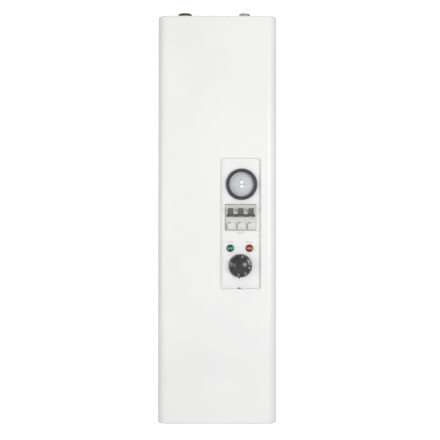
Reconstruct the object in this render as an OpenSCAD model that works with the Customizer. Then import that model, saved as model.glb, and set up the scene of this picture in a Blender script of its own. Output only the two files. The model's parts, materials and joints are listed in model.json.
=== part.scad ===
// Wall-hung electric heating boiler: a slim white sheet-steel case with a control window,
// holding a welded tank with immersion elements and its switchgear.
// Millimetres. The wall is the plane y = 0, +X is right, +Z is up and the front faces -Y.
// The origin lies on the wall, midway between the two points that the case hangs from.

/* [Case] */
// Width of the case
case_w = 205; // [203:1:230]
// Height of the case
case_h = 700; // [680:5:820]
// Depth of the case, from the wall to the front face
case_d = 170; // [166:1:200]
// Thickness of the sheet steel
sheet_t = 1.2; // [0.8:0.1:1.5]
// Radius of the upright front edges, seen from above
front_r = 18; // [8:1:24]
// Depth of the side flanges of the back plate
flange_d = 20; // [16:1:30]
// Gap between the cover and the back plate that it slides over
cover_gap = 0.4; // [0.2:0.1:0.8]
// Diameter of the screws that hold the cover
cover_screw_d = 4; // [3:0.5:5]
// Distance of those screws from the wall
cover_screw_inset = 10; // [8:1:12]
// Distance of those screws from the top and the bottom edge
cover_screw_end = 70; // [50:5:120]

/* [Wall fixing] */
// Height of the case above the points that it hangs from
hang_drop = 60; // [45:1:80]
// Distance between the two keyholes
hang_pitch = 140; // [110:5:150]
// Diameter of a keyhole's wide end
keyhole_d = 11; // [9:0.5:13]
// Width of a keyhole's slot
keyhole_slot_w = 6; // [4.5:0.5:7]
// Distance from the wide end's centre up to the slot's end
keyhole_rise = 12; // [10:1:16]
// Diameter of the two lower fixing holes
fix_hole_d = 7; // [5:0.5:9]
// Height of the lower fixing holes above the case's bottom
fix_rise = 60; // [40:5:80]
// Distance between the two lower fixing holes
fix_pitch = 140; // [110:5:150]

/* [Control window] */
// Width of the window in the cover
window_w = 70; // [68:1:80]
// Height of the window
window_h = 225; // [215:1:240]
// Corner radius of the window
window_r = 3.5; // [2:0.5:8]
// Distance of the window's centre from the case's right side
window_inset = 62.5; // [60.5:0.5:64.5]
// Distance of the window's centre below the middle of the case
window_drop = 7; // [0:1:20]
// Depth of the control panel behind the cover's face
panel_recess = 5; // [3:0.5:7]
// Thickness of the control plate
plate_t = 1.5; // [1:0.1:2]
// How far the control plate reaches past the window
plate_margin = 10; // [8:0.5:11]
// Thickness of the printed film on the plate
film_t = 0.4; // [0.2:0.1:0.6]
// How far the film reaches past the window
film_margin = 6; // [2:0.5:8]
// Height of the plate's two legs
leg_h = 76; // [60:1:90]
// Width of a leg's foot
foot_w = 14; // [12:0.5:16]

/* [Breakers] */
// Width of one breaker pole
pole_w = 17.5; // [17:0.1:18]
// Height of a pole's whole body
pole_h = 81; // [78:0.5:83]
// Height of a pole's nose, which shows in the panel
nose_h = 45; // [44:0.5:46]
// Distance that the noses stand proud of the panel
nose_proud = 2.5; // [1:0.5:4]
// Depth of a nose in front of the rail
nose_depth = 60; // [56:0.5:64]
// Depth of a pole's shoulders in front of the rail
shoulder_depth = 44; // [40:0.5:45]
// Distance of the breakers' middle right of the window's centre
breaker_x_off = 0.5; // [-1:0.5:1]
// Height of the breakers' middle above the window's centre
breaker_z_off = 10.5; // [8:0.5:12]
// Width of a lever's toggle
toggle_w = 9; // [7:0.5:11]
// Reach of a toggle from its pivot
toggle_reach = 17.5; // [15:0.5:19]
// Thickness of a toggle at its tip
toggle_tip_t = 3.6; // [3:0.2:4.2]
// Angle of a toggle above level when it is on, and below when off
toggle_tilt = 43; // [35:1:45]
// Diameter of the drum that a toggle stands on
drum_d = 8; // [7.5:0.5:9]
// Diameter of the rod that joins the levers
lever_rod_d = 2.4; // [2:0.1:3]

/* [Gauge] */
// Outside diameter of the bezel
bezel_d = 54; // [53:0.5:58]
// Height of the bezel above the panel
bezel_h = 4.5; // [4:0.5:6]
// Diameter of the dial that shows
sight_d = 42; // [40:0.5:44]
// Outside diameter of the gauge case
gauge_case_d = 50; // [48:0.5:51]
// Depth of the gauge case behind the panel's face
gauge_depth = 10.5; // [9.5:0.5:11]
// Thickness of the glass
glass_t = 1.5; // [1:0.1:2]
// Distance of the gauge right of the window's centre
gauge_x_off = 2; // [-2:0.5:3]
// Height of the gauge above the window's centre
gauge_z_off = 67.5; // [66:0.5:70]
// Diameter of a needle's hub
hub_d = 6; // [4:0.5:6.5]
// Distance between the two needle hubs, one above the other
hub_pitch = 7.5; // [7:0.5:9]
// Length of the upper needle, for pressure
pressure_needle_l = 13; // [10:0.5:15]
// Length of the lower needle, for temperature
temperature_needle_l = 14.5; // [10:0.5:15]
// Angle of the upper needle at rest, clockwise from straight up
pressure_rest = -57; // [-80:1:-45]
// Angle of the lower needle at rest, clockwise from straight up
temperature_rest = 96; // [91:1:110]

/* [Lamps] */
// Diameter of a lamp's flange
lamp_d = 12.7; // [11.5:0.1:13]
// Height of a lamp's lens above the panel
lens_h = 5; // [3:0.5:8]
// Diameter of a lamp's barrel behind the panel
lamp_barrel_d = 10; // [9:0.5:10.5]
// Length of that barrel
lamp_barrel_l = 26; // [16:1:40]
// Distance between the two lamps
lamp_pitch = 33; // [28:0.5:38]
// Distance of the lamps below the window's centre
lamp_drop = 42.5; // [41:0.5:44]

/* [Thermostat] */
// Diameter of the knob
knob_d = 40; // [38:0.5:42]
// Height of the knob
knob_h = 18; // [14:0.5:24]
// Diameter of the knob's grip
grip_d = 26; // [20:0.5:28]
// Gap between the knob and the panel
knob_gap = 1; // [0.5:0.1:2]
// Distance of the knob's centre below the window's centre
knob_drop = 72.5; // [71:0.5:76]
// Diameter of the spindle
spindle_d = 6; // [5:0.5:8]
// Width of the thermostat's body
thermostat_w = 44; // [38:1:48]
// Height of the thermostat's body
thermostat_h = 38; // [34:1:42]
// Depth of the thermostat's body
thermostat_d = 30; // [24:1:32]
// Distance between its two screws
thermostat_screw_pitch = 28; // [26:0.5:29]

/* [Tank] */
// Outside diameter of the tank
tank_d = 70; // [66:1:72]
// Wall thickness of the tank
tank_wall = 2.5; // [2:0.1:4]
// Distance of the tank's axis from the case's left side
tank_left = 43.5; // [43.5:0.5:45.5]
// Distance of the tank's axis behind the front face
tank_inset = 75; // [68:1:85]
// Distance of the tank's top below the case's top
tank_top_drop = 55; // [50:1:80]
// Distance of the tank's bottom above the case's bottom
tank_bottom_rise = 115; // [105:1:140]
// Thickness of the insulation
insulation_t = 5.5; // [3:0.5:6]
// Height of the supply pipe's end above the case
supply_rise = 23.5; // [20:0.5:50]
// Outside diameter of the supply and return threads, for three quarter inch pipe
main_thread_d = 26.44; // [26.4:0.01:26.5]
// Bore of the supply and return pipes
main_bore_d = 20; // [18:0.5:21]
// Distance of the return pipe's axis right of the middle of the case
return_x = 5; // [4:0.5:6]
// Height of the return branch above the tank's bottom
return_branch_rise = 30; // [24:1:50]
// Length of the return pipe's end below the case
return_reach = 17; // [15:1:50]
// Distance of the safety pipe's axis right of the middle of the case
safety_x = 49; // [40:0.5:60]
// Height of the safety pipe's end above the case
safety_rise = 24.5; // [20:0.5:50]
// Outside diameter of the safety thread, for half inch pipe
safety_thread_d = 20.96; // [20.9:0.01:21]
// Bore of the safety pipe
safety_bore_d = 16; // [14:0.5:16.5]
// Distance of the safety branch below the tank's top
safety_branch_drop = 22; // [20:1:26]

/* [Heating elements] */
// Width across the flats of the element head
head_af = 50; // [46:1:52]
// Height of that hexagon
head_h = 8; // [6:0.5:10]
// Outside diameter of the head's thread
head_thread_d = 41.9; // [41.5:0.1:42]
// Diameter of an element's tube
element_d = 6.5; // [6:0.5:7]
// Distance of the elements' top below the lower sensor pocket
element_clear = 62; // [30:1:200]
// Radius of the ring that the element legs stand on
element_ring_r = 11; // [10.5:0.5:12]

/* [Switchgear] */
// Width of the contactor
contactor_w = 54; // [50:1:58]
// Height of the contactor
contactor_h = 72; // [65:1:78]
// Depth of the contactor
contactor_d = 62; // [55:1:68]
// Travel of the contactor's plunger
plunger_travel = 3; // [2:0.5:4]
// Outside diameter of the cable gland's thread
gland_thread_d = 25; // [20:1:26]
// Bore of the gland's cap, which the cord passes
gland_bore_d = 14; // [10:0.5:15]
// Diameter of an insulated lead
lead_d = 3.6; // [2.5:0.1:4]
// Diameter of a capillary
capillary_d = 2; // [1.2:0.1:2.5]

/* [Hidden] */
$fn = 48;

// Overrun of a cut past the face that it opens
over = 1;
// Gap between fixed pieces that seat on each other
seat = 0.1;
// Radial clearance of a turning shaft in its hole
run_gap = 0.05;
// Clearance round a moving piece that is not a bearing
move_gap = 0.3;
// Clearance of a screw or a barrel in its hole, on the radius
hole_gap = 0.2;

// Outline of the case
top_z = hang_drop;
bottom_z = hang_drop - case_h;
front_y = -case_d;
inner_w = case_w - 2 * (sheet_t + cover_gap);
inner_d = case_d - sheet_t - cover_gap;
inner_r = front_r - sheet_t - cover_gap;
pan_head_d_share = 2;
pan_head_h_share = 0.6;
cover_screw_l = 8;

// The window and the panel behind it
window_x = case_w / 2 - window_inset;
window_z = (top_z + bottom_z) / 2 - window_drop;
panel_y = front_y + panel_recess;
lip_gap = 0.4;
plate_y = panel_y + film_t;
plate_back_y = plate_y + plate_t;
plate_w = window_w + 2 * plate_margin;
plate_h = window_h + 2 * plate_margin;
plate_screw_d = 4;
plate_screw_l = 5;
foot_screw_pitch_share = 0.6;

// Breakers and their rail
pole_count = 3;
pole_side_gap = 0.1;
pole_heel = 5;
hook_l = 1.5;
breaker_x = window_x + breaker_x_off;
breaker_z = window_z + breaker_z_off;
nose_y = panel_y - nose_proud;
rail_y = nose_y + nose_depth;
rail_h = 35;
rail_d = 7.5;
rail_t = 1;
rail_hat_h = 27;
rail_screw_d = 4;
rail_screw_l = 5;
rail_tab_h = 24;
cutout_gap = 0.5;
drum_depth = 3.4;
drum_rise = 3.4;
drum_y = nose_y + drum_depth;
drum_z = breaker_z + drum_rise;
cheek_t = 1.6;
rod_end_gap = 0.3;
toggle_root_t = 2.4;
slot_reach = 12;
terminal_hole_d = 5;
terminal_hole_depth = 9;
terminal_hole_inset = 20;

// Gauge
gauge_x = window_x + gauge_x_off;
gauge_z = window_z + gauge_z_off;
bezel_y = panel_y - bezel_h;
bezel_lip_t = 1.2;
bezel_round = 1.8;
bezel_bevel = 0.8;
gauge_wall = 1;
gauge_rim_y = bezel_y + bezel_lip_t + glass_t + 2 * seat;
gauge_back_y = panel_y + gauge_depth;
gauge_boss_d = 24;
gauge_boss_l = 13;
dial_t = 0.5;
dial_depth = 1.5;
dial_y = panel_y + dial_depth;
movement_w = 30;
movement_h = 18;
arbor_d = 1.2;
arbor_depth = 5;
hub_t = 1.6;
hub_lift = 0.6;
needle_t = 0.4;
needle_root_w = 1.8;
needle_tip_w = 0.9;
clamp_w = 30;
clamp_t = 1.5;
capillary_spread = 8;
capillary_foot = 8;

// Lamps
lamp_inset = 1;
lamp_x = window_x - lamp_inset;
lamp_z = window_z - lamp_drop;
lamp_flange_t = 1.5;
lamp_flange_gap = 0.1;
lens_d_share = 0.86;
lens_chamfer = 0.9;
lens_stem_d = 6;
lens_stem_l = 6;
lamp_tag_w = 4;
lamp_tag_t = 0.8;
lamp_tag_l = 7;

// Thermostat
knob_x = window_x;
knob_z = window_z - knob_drop;
knob_front_y = panel_y - knob_gap - knob_h;
knob_skirt_h = 6;
knob_rim_h = 3.6;
knob_edge_r = 2;
knob_cavity_d = 36;
knob_cavity_h = 3;
knob_boss_d = 12;
spindle_flat = 1.2;
spindle_in_knob = 12;
spindle_in_body = 10;
spindle_collar_d = 9;
thermostat_screw_d = 4;
thermostat_screw_l = 6;

// Tank and pipes
tank_x = tank_left - case_w / 2;
tank_y = front_y + tank_inset;
tank_top = top_z - tank_top_drop;
tank_bottom = bottom_z + tank_bottom_rise;
tank_cap_t = 4;
tank_r = tank_d / 2;
insulation_gap = 0.3;
insulation_end = 10;
insulation_clear = 2;
insulation_r = tank_r + insulation_gap + insulation_t;
supply_socket_d = 36;
supply_socket_h = 14;
supply_hex_af = 32;
supply_hex_h = 8;
supply_screwed_l = 12;
thread_chamfer = 1.5;
thread_start = 3;
main_pipe_d = 26.9;
return_bend_r = 27;
safety_pipe_d = 21.3;
safety_bend_r = 30;
safety_z = tank_top - safety_branch_drop;
return_z = tank_bottom + return_branch_rise;
grommet_wall = 1.7;
grommet_lip = 2;
grommet_t = 2;
element_socket_d = 52;
element_socket_h = 16;
element_socket_gap = 0.2;
pocket_boss_d = 20;
pocket_boss_h = 3;
pocket_d = 10;
pocket_bore_d = 7;
pocket_l = 52;
pocket_af = 17;
pocket_hex_h = 6;
pocket_drop = 62;
pocket_pitch = 30;
bulb_d = 6.5;
bulb_l = 45;
limiter_drop = 62;
limiter_d = 16;
limiter_h = 10;
limiter_flange_d = 24;
limiter_flange_t = 1;
limiter_tag_w = 6.3;
limiter_tag_t = 0.8;
limiter_tag_l = 8;
bracket_w = 40;
bracket_h = 25;
bracket_t = 2;
bracket_end = 90;
bracket_screw_d = 5;
bracket_screw_l = 6;
fitting_d = 10;
fitting_h = 12;
fitting_af = 14;
fitting_hex_h = 6;
fitting_x = 20;

// Heating elements
gasket_t = 2;
head_thread_l = 12;
head_z = tank_bottom - element_socket_h - gasket_t;
insulator_d = 8;
insulator_h = 6;
pin_d = 4;
pin_l = 12;

// Switchgear on the back plate
contactor_rise = 150;
contactor_z = bottom_z + contactor_rise;
contactor_base_d = 40;
contactor_nose_h = 44;
plunger_w = 10;
plunger_l = 10;
plunger_proud = 3.5;
plunger_gap = 0.2;
contact_inset = 28;
terminal_rise = 54;
terminal_z = bottom_z + terminal_rise;
terminal_h = 36;
terminal_d = 40;
terminal_inset = 28;
terminal_screw_d = 6;
terminal_screw_l = 5;
driver_slot_w = 1;
driver_slot_depth = 1.6;
terminal_count = 4;
gland_x = 66;
gland_y = -70;
gland_af = 30;
gland_flange_h = 5;
gland_thread_l = 8;
gland_cap_thread_d = 21;
gland_cap_thread_l = 8;
gland_cap_h = 15;
gland_cap_top_h = 5;
gland_nut_h = 5;
gland_body_bore_d = 16;

function pole_x(i) = breaker_x + (i - 1) * pole_w;
function bracket_z(k) = k == 0 ? tank_top - bracket_end : tank_bottom + bracket_end;
function pocket_z(k) = tank_top - pocket_drop - k * pocket_pitch;

// A bend in a lead is a ball a little wider than the lead
knuckle_share = 1.04;

// Shared shapes

module rod_x(d, l) rotate([0, 90, 0]) cylinder(d = d, h = l);

module rod_y(d, l) rotate([-90, 0, 0]) cylinder(d = d, h = l);

// A flat outline in x and z, given a thickness towards the wall
module slab_y(t) translate([0, t, 0]) rotate([90, 0, 0]) linear_extrude(t) children();

// A flat outline in y and z, given a thickness along +X
module slab_x(t) rotate([90, 0, 90]) linear_extrude(t) children();

// A section of radius and height, turned about an axis that runs towards the wall
module turn_y() rotate([-90, 0, 0]) rotate_extrude() children();

module round_rect(w, h, r) {
    square([w - 2 * r, h], center = true);
    square([w, h - 2 * r], center = true);
    for (sx = [-1, 1], sz = [-1, 1]) translate([sx * (w / 2 - r), sz * (h / 2 - r)]) circle(r = r);
}

// Plan of the case: square at the wall, round at the two front edges
module plan_outline(w, d, r) {
    translate([-w / 2, r - d]) square([w, d - r]);
    translate([r - w / 2, -d]) square([w - 2 * r, r]);
    for (s = [-1, 1]) translate([s * (w / 2 - r), r - d]) circle(r = r);
}

// A round wire or tube through a list of points
module tube_run(points, d) {
    for (i = [0 : len(points) - 2]) {
        step = points[i + 1] - points[i];
        reach = norm(step);
        translate(points[i])
            rotate([0, acos(step.z / reach), atan2(step.y, step.x)]) cylinder(d = d, h = reach);
    }
    for (i = [1 : 1 : len(points) - 2]) translate(points[i]) sphere(d = d * knuckle_share);
}

// A pan-head screw along +Z: the head's underside is at zero and the shank runs down
module pan_screw(d, l) {
    head_r = d * pan_head_d_share / 2;
    head_h = d * pan_head_h_share;
    difference() {
        union() {
            cylinder(r1 = head_r, r2 = head_r - head_h / 2, h = head_h);
            translate([0, 0, -l]) cylinder(d = d, h = l);
        }
        for (a = [0, 90]) rotate([0, 0, a])
            translate([-head_r / 2, -head_h / 4, head_h / 2]) cube([head_r, head_h / 2, over + head_h]);
    }
}

module hexagon(af, h) cylinder(d = af / cos(30), h = h, $fn = 6);

// Case

module at_cover_screws() {
    for (s = [-1, 1], z = [top_z - cover_screw_end, bottom_z + cover_screw_end])
        translate([s * case_w / 2, -cover_screw_inset, z]) rotate([0, s * 90, 0]) children();
}

module at_pipes_up() {
    translate([tank_x, tank_y, top_z]) children(0);
    translate([safety_x, tank_y, top_z]) children(1);
}

module grommet_hole(d) {
    translate([0, 0, -over - sheet_t])
        cylinder(d = d + 2 * (move_gap + grommet_wall), h = sheet_t + 2 * over);
}

module keyhole() {
    translate([0, 0, -keyhole_rise]) rod_y(keyhole_d, sheet_t + 2 * over);
    rod_y(keyhole_slot_w, sheet_t + 2 * over);
    translate([-keyhole_slot_w / 2, 0, -keyhole_rise])
        cube([keyhole_slot_w, sheet_t + 2 * over, keyhole_rise]);
}

module back_plate() color("gainsboro") {
    difference() {
        union() {
            translate([-inner_w / 2, -sheet_t, bottom_z]) cube([inner_w, sheet_t, case_h]);
            for (s = [-1, 1])
                translate([s * (inner_w - sheet_t) / 2 - sheet_t / 2, -flange_d, bottom_z])
                    cube([sheet_t, flange_d, case_h]);
            for (z = [bottom_z, top_z - sheet_t])
                translate([0, 0, z]) linear_extrude(sheet_t) plan_outline(inner_w, inner_d, inner_r);
        }
        for (s = [-1, 1]) {
            translate([s * hang_pitch / 2, -sheet_t - over, -keyhole_slot_w / 2]) keyhole();
            translate([s * fix_pitch / 2, -sheet_t - over, bottom_z + fix_rise])
                rod_y(fix_hole_d, sheet_t + 2 * over);
        }
        at_pipes_up() {
            grommet_hole(main_pipe_d);
            grommet_hole(safety_pipe_d);
        }
        translate([return_x, tank_y, bottom_z + sheet_t]) grommet_hole(main_pipe_d);
        translate([gland_x, gland_y, bottom_z - over])
            cylinder(d = gland_thread_d + 2 * hole_gap, h = sheet_t + 2 * over);
        at_cover_screws() translate([0, 0, -cover_screw_l])
            cylinder(d = cover_screw_d + 2 * hole_gap, h = 2 * cover_screw_l);
    }
}

module front_cover() color("white") {
    difference() {
        union() {
            translate([0, 0, bottom_z]) linear_extrude(case_h) difference() {
                plan_outline(case_w, case_d, front_r);
                plan_outline(case_w - 2 * sheet_t, case_d - sheet_t, front_r - sheet_t);
                translate([-case_w, -cover_gap]) square([2 * case_w, cover_gap + over]);
            }
            // The window's edge is turned in as far as the film
            translate([window_x, front_y, window_z]) slab_y(panel_recess - lip_gap)
                round_rect(window_w + 2 * sheet_t, window_h + 2 * sheet_t, window_r + sheet_t);
        }
        translate([window_x, front_y - over, window_z])
            slab_y(panel_recess + 2 * over) round_rect(window_w, window_h, window_r);
        at_cover_screws() translate([0, 0, -cover_screw_l])
            cylinder(d = cover_screw_d + 2 * hole_gap, h = 2 * cover_screw_l);
    }
}

module cover_screws() color("silver")
    at_cover_screws() translate([0, 0, seat]) pan_screw(cover_screw_d, cover_screw_l);

// Control panel

// The holes that the plate and its film share
module panel_cutouts() {
    translate([gauge_x, gauge_z]) circle(d = gauge_case_d + 2 * cutout_gap);
    translate([breaker_x, breaker_z])
        square([pole_count * pole_w + 2 * cutout_gap, nose_h + 2 * cutout_gap], center = true);
    for (s = [-1, 1]) translate([lamp_x + s * lamp_pitch / 2, lamp_z])
        circle(d = lamp_barrel_d + 2 * hole_gap);
    translate([knob_x, knob_z]) {
        circle(d = spindle_collar_d + 2 * hole_gap);
        for (s = [-1, 1]) translate([s * thermostat_screw_pitch / 2, 0])
            circle(d = thermostat_screw_d + 2 * hole_gap);
    }
}

module at_foot_screws() {
    for (s = [-1, 1], e = [-1, 1])
        translate([
            window_x + s * (plate_w - foot_w - plate_t) / 2,
            -sheet_t - seat - plate_t,
            breaker_z + e * foot_screw_pitch_share * leg_h / 2
        ]) rotate([90, 0, 0]) children();
}

module at_rail_screws() {
    for (s = [-1, 1])
        translate([window_x + s * (plate_w - foot_w - plate_t) / 2, rail_y + rail_d - rail_t, breaker_z])
            rotate([90, 0, 0]) children();
}

module control_plate() color("lightgray") {
    leg_l = -sheet_t - seat - plate_y;
    difference() {
        union() {
            translate([0, plate_y, 0]) slab_y(plate_t) difference() {
                translate([window_x, window_z]) round_rect(plate_w, plate_h, window_r);
                panel_cutouts();
            }
            for (s = [-1, 1]) {
                edge_x = window_x + s * (plate_w - plate_t) / 2;
                foot_x = window_x + s * (plate_w - foot_w) / 2;
                translate([edge_x - plate_t / 2, plate_y, breaker_z - leg_h / 2])
                    cube([plate_t, leg_l, leg_h]);
                translate([foot_x - foot_w / 2, plate_y + leg_l - plate_t, breaker_z - leg_h / 2])
                    cube([foot_w, plate_t, leg_h]);
                translate([foot_x - foot_w / 2, rail_y + rail_d + seat, breaker_z - rail_tab_h / 2])
                    cube([foot_w, plate_t, rail_tab_h]);
            }
        }
        at_foot_screws() translate([0, 0, -plate_screw_l])
            cylinder(d = plate_screw_d + 2 * hole_gap, h = 2 * plate_screw_l);
        at_rail_screws() translate([0, 0, -rail_screw_l])
            cylinder(d = rail_screw_d + 2 * hole_gap, h = 2 * rail_screw_l);
    }
}

module control_plate_screws() color("silver")
    at_foot_screws() translate([0, 0, seat]) pan_screw(plate_screw_d, plate_t + 2 * seat);

module panel_film() color("whitesmoke")
    translate([0, panel_y, 0]) slab_y(film_t) difference() {
        translate([window_x, window_z])
            round_rect(window_w + 2 * film_margin, window_h + 2 * film_margin, window_r);
        panel_cutouts();
    }

// Breakers on their rail

module rail_section() {
    for (s = [-1, 1]) {
        translate([0, s * (rail_h + rail_hat_h) / 4 - (rail_h - rail_hat_h) / 4])
            square([rail_t, (rail_h - rail_hat_h) / 2]);
        translate([0, s * (rail_hat_h - rail_t) / 2 - rail_t / 2]) square([rail_d, rail_t]);
    }
    translate([rail_d - rail_t, -rail_hat_h / 2]) square([rail_t, rail_hat_h]);
}

module din_rail() color("silver") {
    rail_l = plate_w - 2 * plate_t - 2 * seat;
    difference() {
        translate([window_x - rail_l / 2, rail_y, breaker_z]) slab_x(rail_l) rail_section();
        at_rail_screws() translate([0, 0, -rail_screw_l])
            cylinder(d = rail_screw_d + 2 * hole_gap, h = 2 * rail_screw_l);
    }
}

module rail_screws() color("silver")
    at_rail_screws() translate([0, 0, seat]) pan_screw(rail_screw_d, rail_screw_l);

module pole_section() {
    rail_edge = rail_h / 2 + seat;
    polygon([
        [-nose_depth, -nose_h / 2], [-nose_depth, nose_h / 2],
        [-shoulder_depth, nose_h / 2], [-shoulder_depth, pole_h / 2],
        [pole_heel, pole_h / 2], [pole_heel, rail_edge - hook_l],
        [rail_t + seat, rail_edge - hook_l], [rail_t + seat, rail_edge], [-seat, rail_edge],
        [-seat, -rail_edge], [rail_t + seat, -rail_edge], [rail_t + seat, hook_l - rail_edge],
        [pole_heel, hook_l - rail_edge], [pole_heel, -pole_h / 2],
        [-shoulder_depth, -pole_h / 2], [-shoulder_depth, -nose_h / 2]
    ]);
}

// Where a toggle passes through the nose between its two ends of travel
module toggle_slot() {
    side = toggle_root_t / 2 + move_gap;
    up = [-cos(toggle_tilt), sin(toggle_tilt)];
    up_side = [sin(toggle_tilt), cos(toggle_tilt)] * side;
    down = [up[0], -up[1]];
    down_side = [up_side[0], -up_side[1]];
    polygon([up_side, up * slot_reach + up_side, down * slot_reach + down_side, down_side]);
}

function left_cheek(i) = i == 0 ? cheek_t : -over;
function right_cheek(i) = i == pole_count - 1 ? cheek_t : -over;

module breaker_pole(i) color("gainsboro") {
    body_w = pole_w - 2 * pole_side_gap;
    left = pole_x(i) - body_w / 2;
    difference() {
        translate([left, rail_y, breaker_z]) slab_x(body_w) pole_section();
        translate([left + left_cheek(i), drum_y, drum_z])
            rod_x(drum_d + 2 * move_gap, body_w - left_cheek(i) - right_cheek(i));
        translate([left - over, drum_y, drum_z])
            rod_x(lever_rod_d + 2 * run_gap, body_w + 2 * over);
        translate([pole_x(i) - toggle_w / 2 - cutout_gap, drum_y, drum_z])
            slab_x(toggle_w + 2 * cutout_gap) toggle_slot();
        for (s = [-1, 1])
            translate([
                pole_x(i), rail_y - terminal_hole_inset, breaker_z + s * (pole_h / 2 - terminal_hole_depth)
            ]) cylinder(d = terminal_hole_d, h = 2 * terminal_hole_depth, center = true);
    }
}

module toggle_section() {
    tip = toggle_reach - toggle_tip_t / 2;
    polygon([
        [0, -toggle_root_t / 2], [-drum_d / 2, -toggle_root_t / 2], [-tip, -toggle_tip_t / 2],
        [-tip, toggle_tip_t / 2], [-drum_d / 2, toggle_root_t / 2], [0, toggle_root_t / 2]
    ]);
    translate([-tip, 0]) circle(d = toggle_tip_t);
}

module breaker_lever(i) color("dimgray") {
    body_w = pole_w - 2 * pole_side_gap;
    left_gap = i == 0 ? cheek_t + move_gap : 0;
    right_gap = i == pole_count - 1 ? cheek_t + move_gap : 0;
    left = pole_x(i) - body_w / 2 + left_gap;
    drum_l = body_w - left_gap - right_gap;
    difference() {
        union() {
            translate([left, drum_y, drum_z]) rod_x(drum_d, drum_l);
            translate([pole_x(i) - toggle_w / 2, drum_y, drum_z])
                rotate([-toggle_tilt, 0, 0]) slab_x(toggle_w) toggle_section();
        }
        translate([left - over, drum_y, drum_z]) rod_x(lever_rod_d + 2 * run_gap, drum_l + 2 * over);
    }
}

module lever_rod() color("silver") {
    rod_l = pole_count * pole_w - 2 * rod_end_gap;
    translate([breaker_x - rod_l / 2, drum_y, drum_z]) rod_x(lever_rod_d, rod_l);
}

// Gauge

module bezel_section() {
    sight_r = sight_d / 2;
    outer_r = bezel_d / 2;
    difference() {
        union() {
            translate([sight_r, bezel_round]) square([outer_r - sight_r, bezel_h - bezel_round]);
            translate([sight_r, 0]) square([outer_r - sight_r - bezel_round, bezel_round]);
            translate([outer_r - bezel_round, bezel_round]) circle(r = bezel_round);
        }
        translate([0, bezel_lip_t]) square([gauge_case_d / 2 + seat, bezel_h]);
        polygon([[sight_r - over, 0], [sight_r + bezel_bevel, 0], [sight_r, bezel_bevel],
            [sight_r - over, bezel_bevel]]);
    }
}

module gauge_bezel() color("dimgray")
    translate([gauge_x, bezel_y, gauge_z]) turn_y() bezel_section();

module gauge_glass() color("aliceblue", 0.4)
    translate([gauge_x, bezel_y + bezel_lip_t + seat, gauge_z]) rod_y(gauge_case_d, glass_t);

module gauge_case() color("silver") {
    difference() {
        union() {
            translate([gauge_x, gauge_rim_y, gauge_z]) rod_y(gauge_case_d, gauge_back_y - gauge_rim_y);
            translate([gauge_x, gauge_back_y, gauge_z]) rod_y(gauge_boss_d, gauge_boss_l);
        }
        translate([gauge_x, gauge_rim_y - over, gauge_z])
            rod_y(gauge_case_d - 2 * gauge_wall, gauge_back_y - gauge_wall - gauge_rim_y + over);
        for (s = [-1, 1])
            translate([
                gauge_x + s * capillary_spread / 2, gauge_back_y + gauge_boss_l - capillary_foot, gauge_z
            ]) rod_y(capillary_d + 2 * seat, capillary_foot + over);
    }
}

module at_hub(s) translate([gauge_x, 0, gauge_z + s * hub_pitch / 2]) children();

module arbor_holes(y, l) {
    for (s = [-1, 1]) at_hub(s) translate([0, y, 0]) rod_y(arbor_d + 2 * run_gap, l);
}

module gauge_dial() color("lightgray") {
    difference() {
        translate([gauge_x, dial_y, gauge_z]) rod_y(gauge_case_d - 2 * gauge_wall - 2 * seat, dial_t);
        arbor_holes(dial_y - over, dial_t + 2 * over);
    }
}

module gauge_movement() color("goldenrod") {
    front = dial_y + dial_t + seat;
    difference() {
        translate([gauge_x - movement_w / 2, front, gauge_z - movement_h / 2])
            cube([movement_w, gauge_back_y - gauge_wall - seat - front, movement_h]);
        arbor_holes(front - over, arbor_depth + over);
    }
}

module needle(s, needle_l, angle) {
    hub_back_y = dial_y - hub_lift;
    at_hub(s) {
        translate([0, hub_back_y - hub_t, 0]) rod_y(hub_d, hub_t);
        translate([0, hub_back_y - hub_t / 2, 0])
            rod_y(arbor_d, dial_y + dial_t + arbor_depth - hub_back_y);
        translate([0, hub_back_y - (hub_t + needle_t) / 2, 0]) rotate([0, angle, 0])
            slab_y(needle_t) polygon([
                [-needle_root_w / 2, 0], [-needle_tip_w / 2, needle_l],
                [needle_tip_w / 2, needle_l], [needle_root_w / 2, 0]
            ]);
    }
}

module pressure_needle() color("white") needle(1, pressure_needle_l, pressure_rest);

module temperature_needle() color("white") needle(-1, temperature_needle_l, temperature_rest);

// A stirrup over the case's rear boss that pulls the bezel against the plate
module gauge_clamp() color("silver") {
    base_y = gauge_back_y + seat;
    half = gauge_case_d / 2 + seat;
    difference() {
        union() {
            translate([gauge_x - half - clamp_t, base_y, gauge_z - clamp_w / 2])
                cube([2 * (half + clamp_t), clamp_t, clamp_w]);
            for (s = [-1, 1])
                translate([gauge_x + s * (half + clamp_t / 2) - clamp_t / 2, plate_back_y + seat,
                    gauge_z - clamp_w / 2])
                    cube([clamp_t, base_y + clamp_t - plate_back_y - seat, clamp_w]);
        }
        translate([gauge_x, base_y - over, gauge_z]) rod_y(gauge_boss_d + 2 * seat, clamp_t + 2 * over);
    }
}

// Capillaries and bulbs

pocket_mouth_x = tank_x + tank_r + pocket_boss_h + pocket_hex_h + seat;
bulb_x = pocket_mouth_x + seat + pocket_hex_h - pocket_l;
capillary_y = gauge_back_y + gauge_boss_l + capillary_foot;
thermostat_back_y = plate_back_y + seat + thermostat_d;
fitting_foot_z = safety_z - safety_pipe_d / 2 - fitting_h;

module bulb(z) translate([bulb_x, tank_y, z]) rod_x(bulb_d, bulb_l);

module gauge_bulb() color("peru") bulb(pocket_z(1));

module thermostat_bulb() color("peru") bulb(pocket_z(0));

module temperature_capillary() color("peru") {
    start_x = gauge_x - capillary_spread / 2;
    z = pocket_z(1);
    tube_run([
        [start_x, capillary_y - 2 * capillary_foot + seat, gauge_z], [start_x, capillary_y, gauge_z],
        [start_x, capillary_y, z], [start_x, tank_y, z], [bulb_x + bulb_l + seat, tank_y, z]
    ], capillary_d);
}

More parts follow.
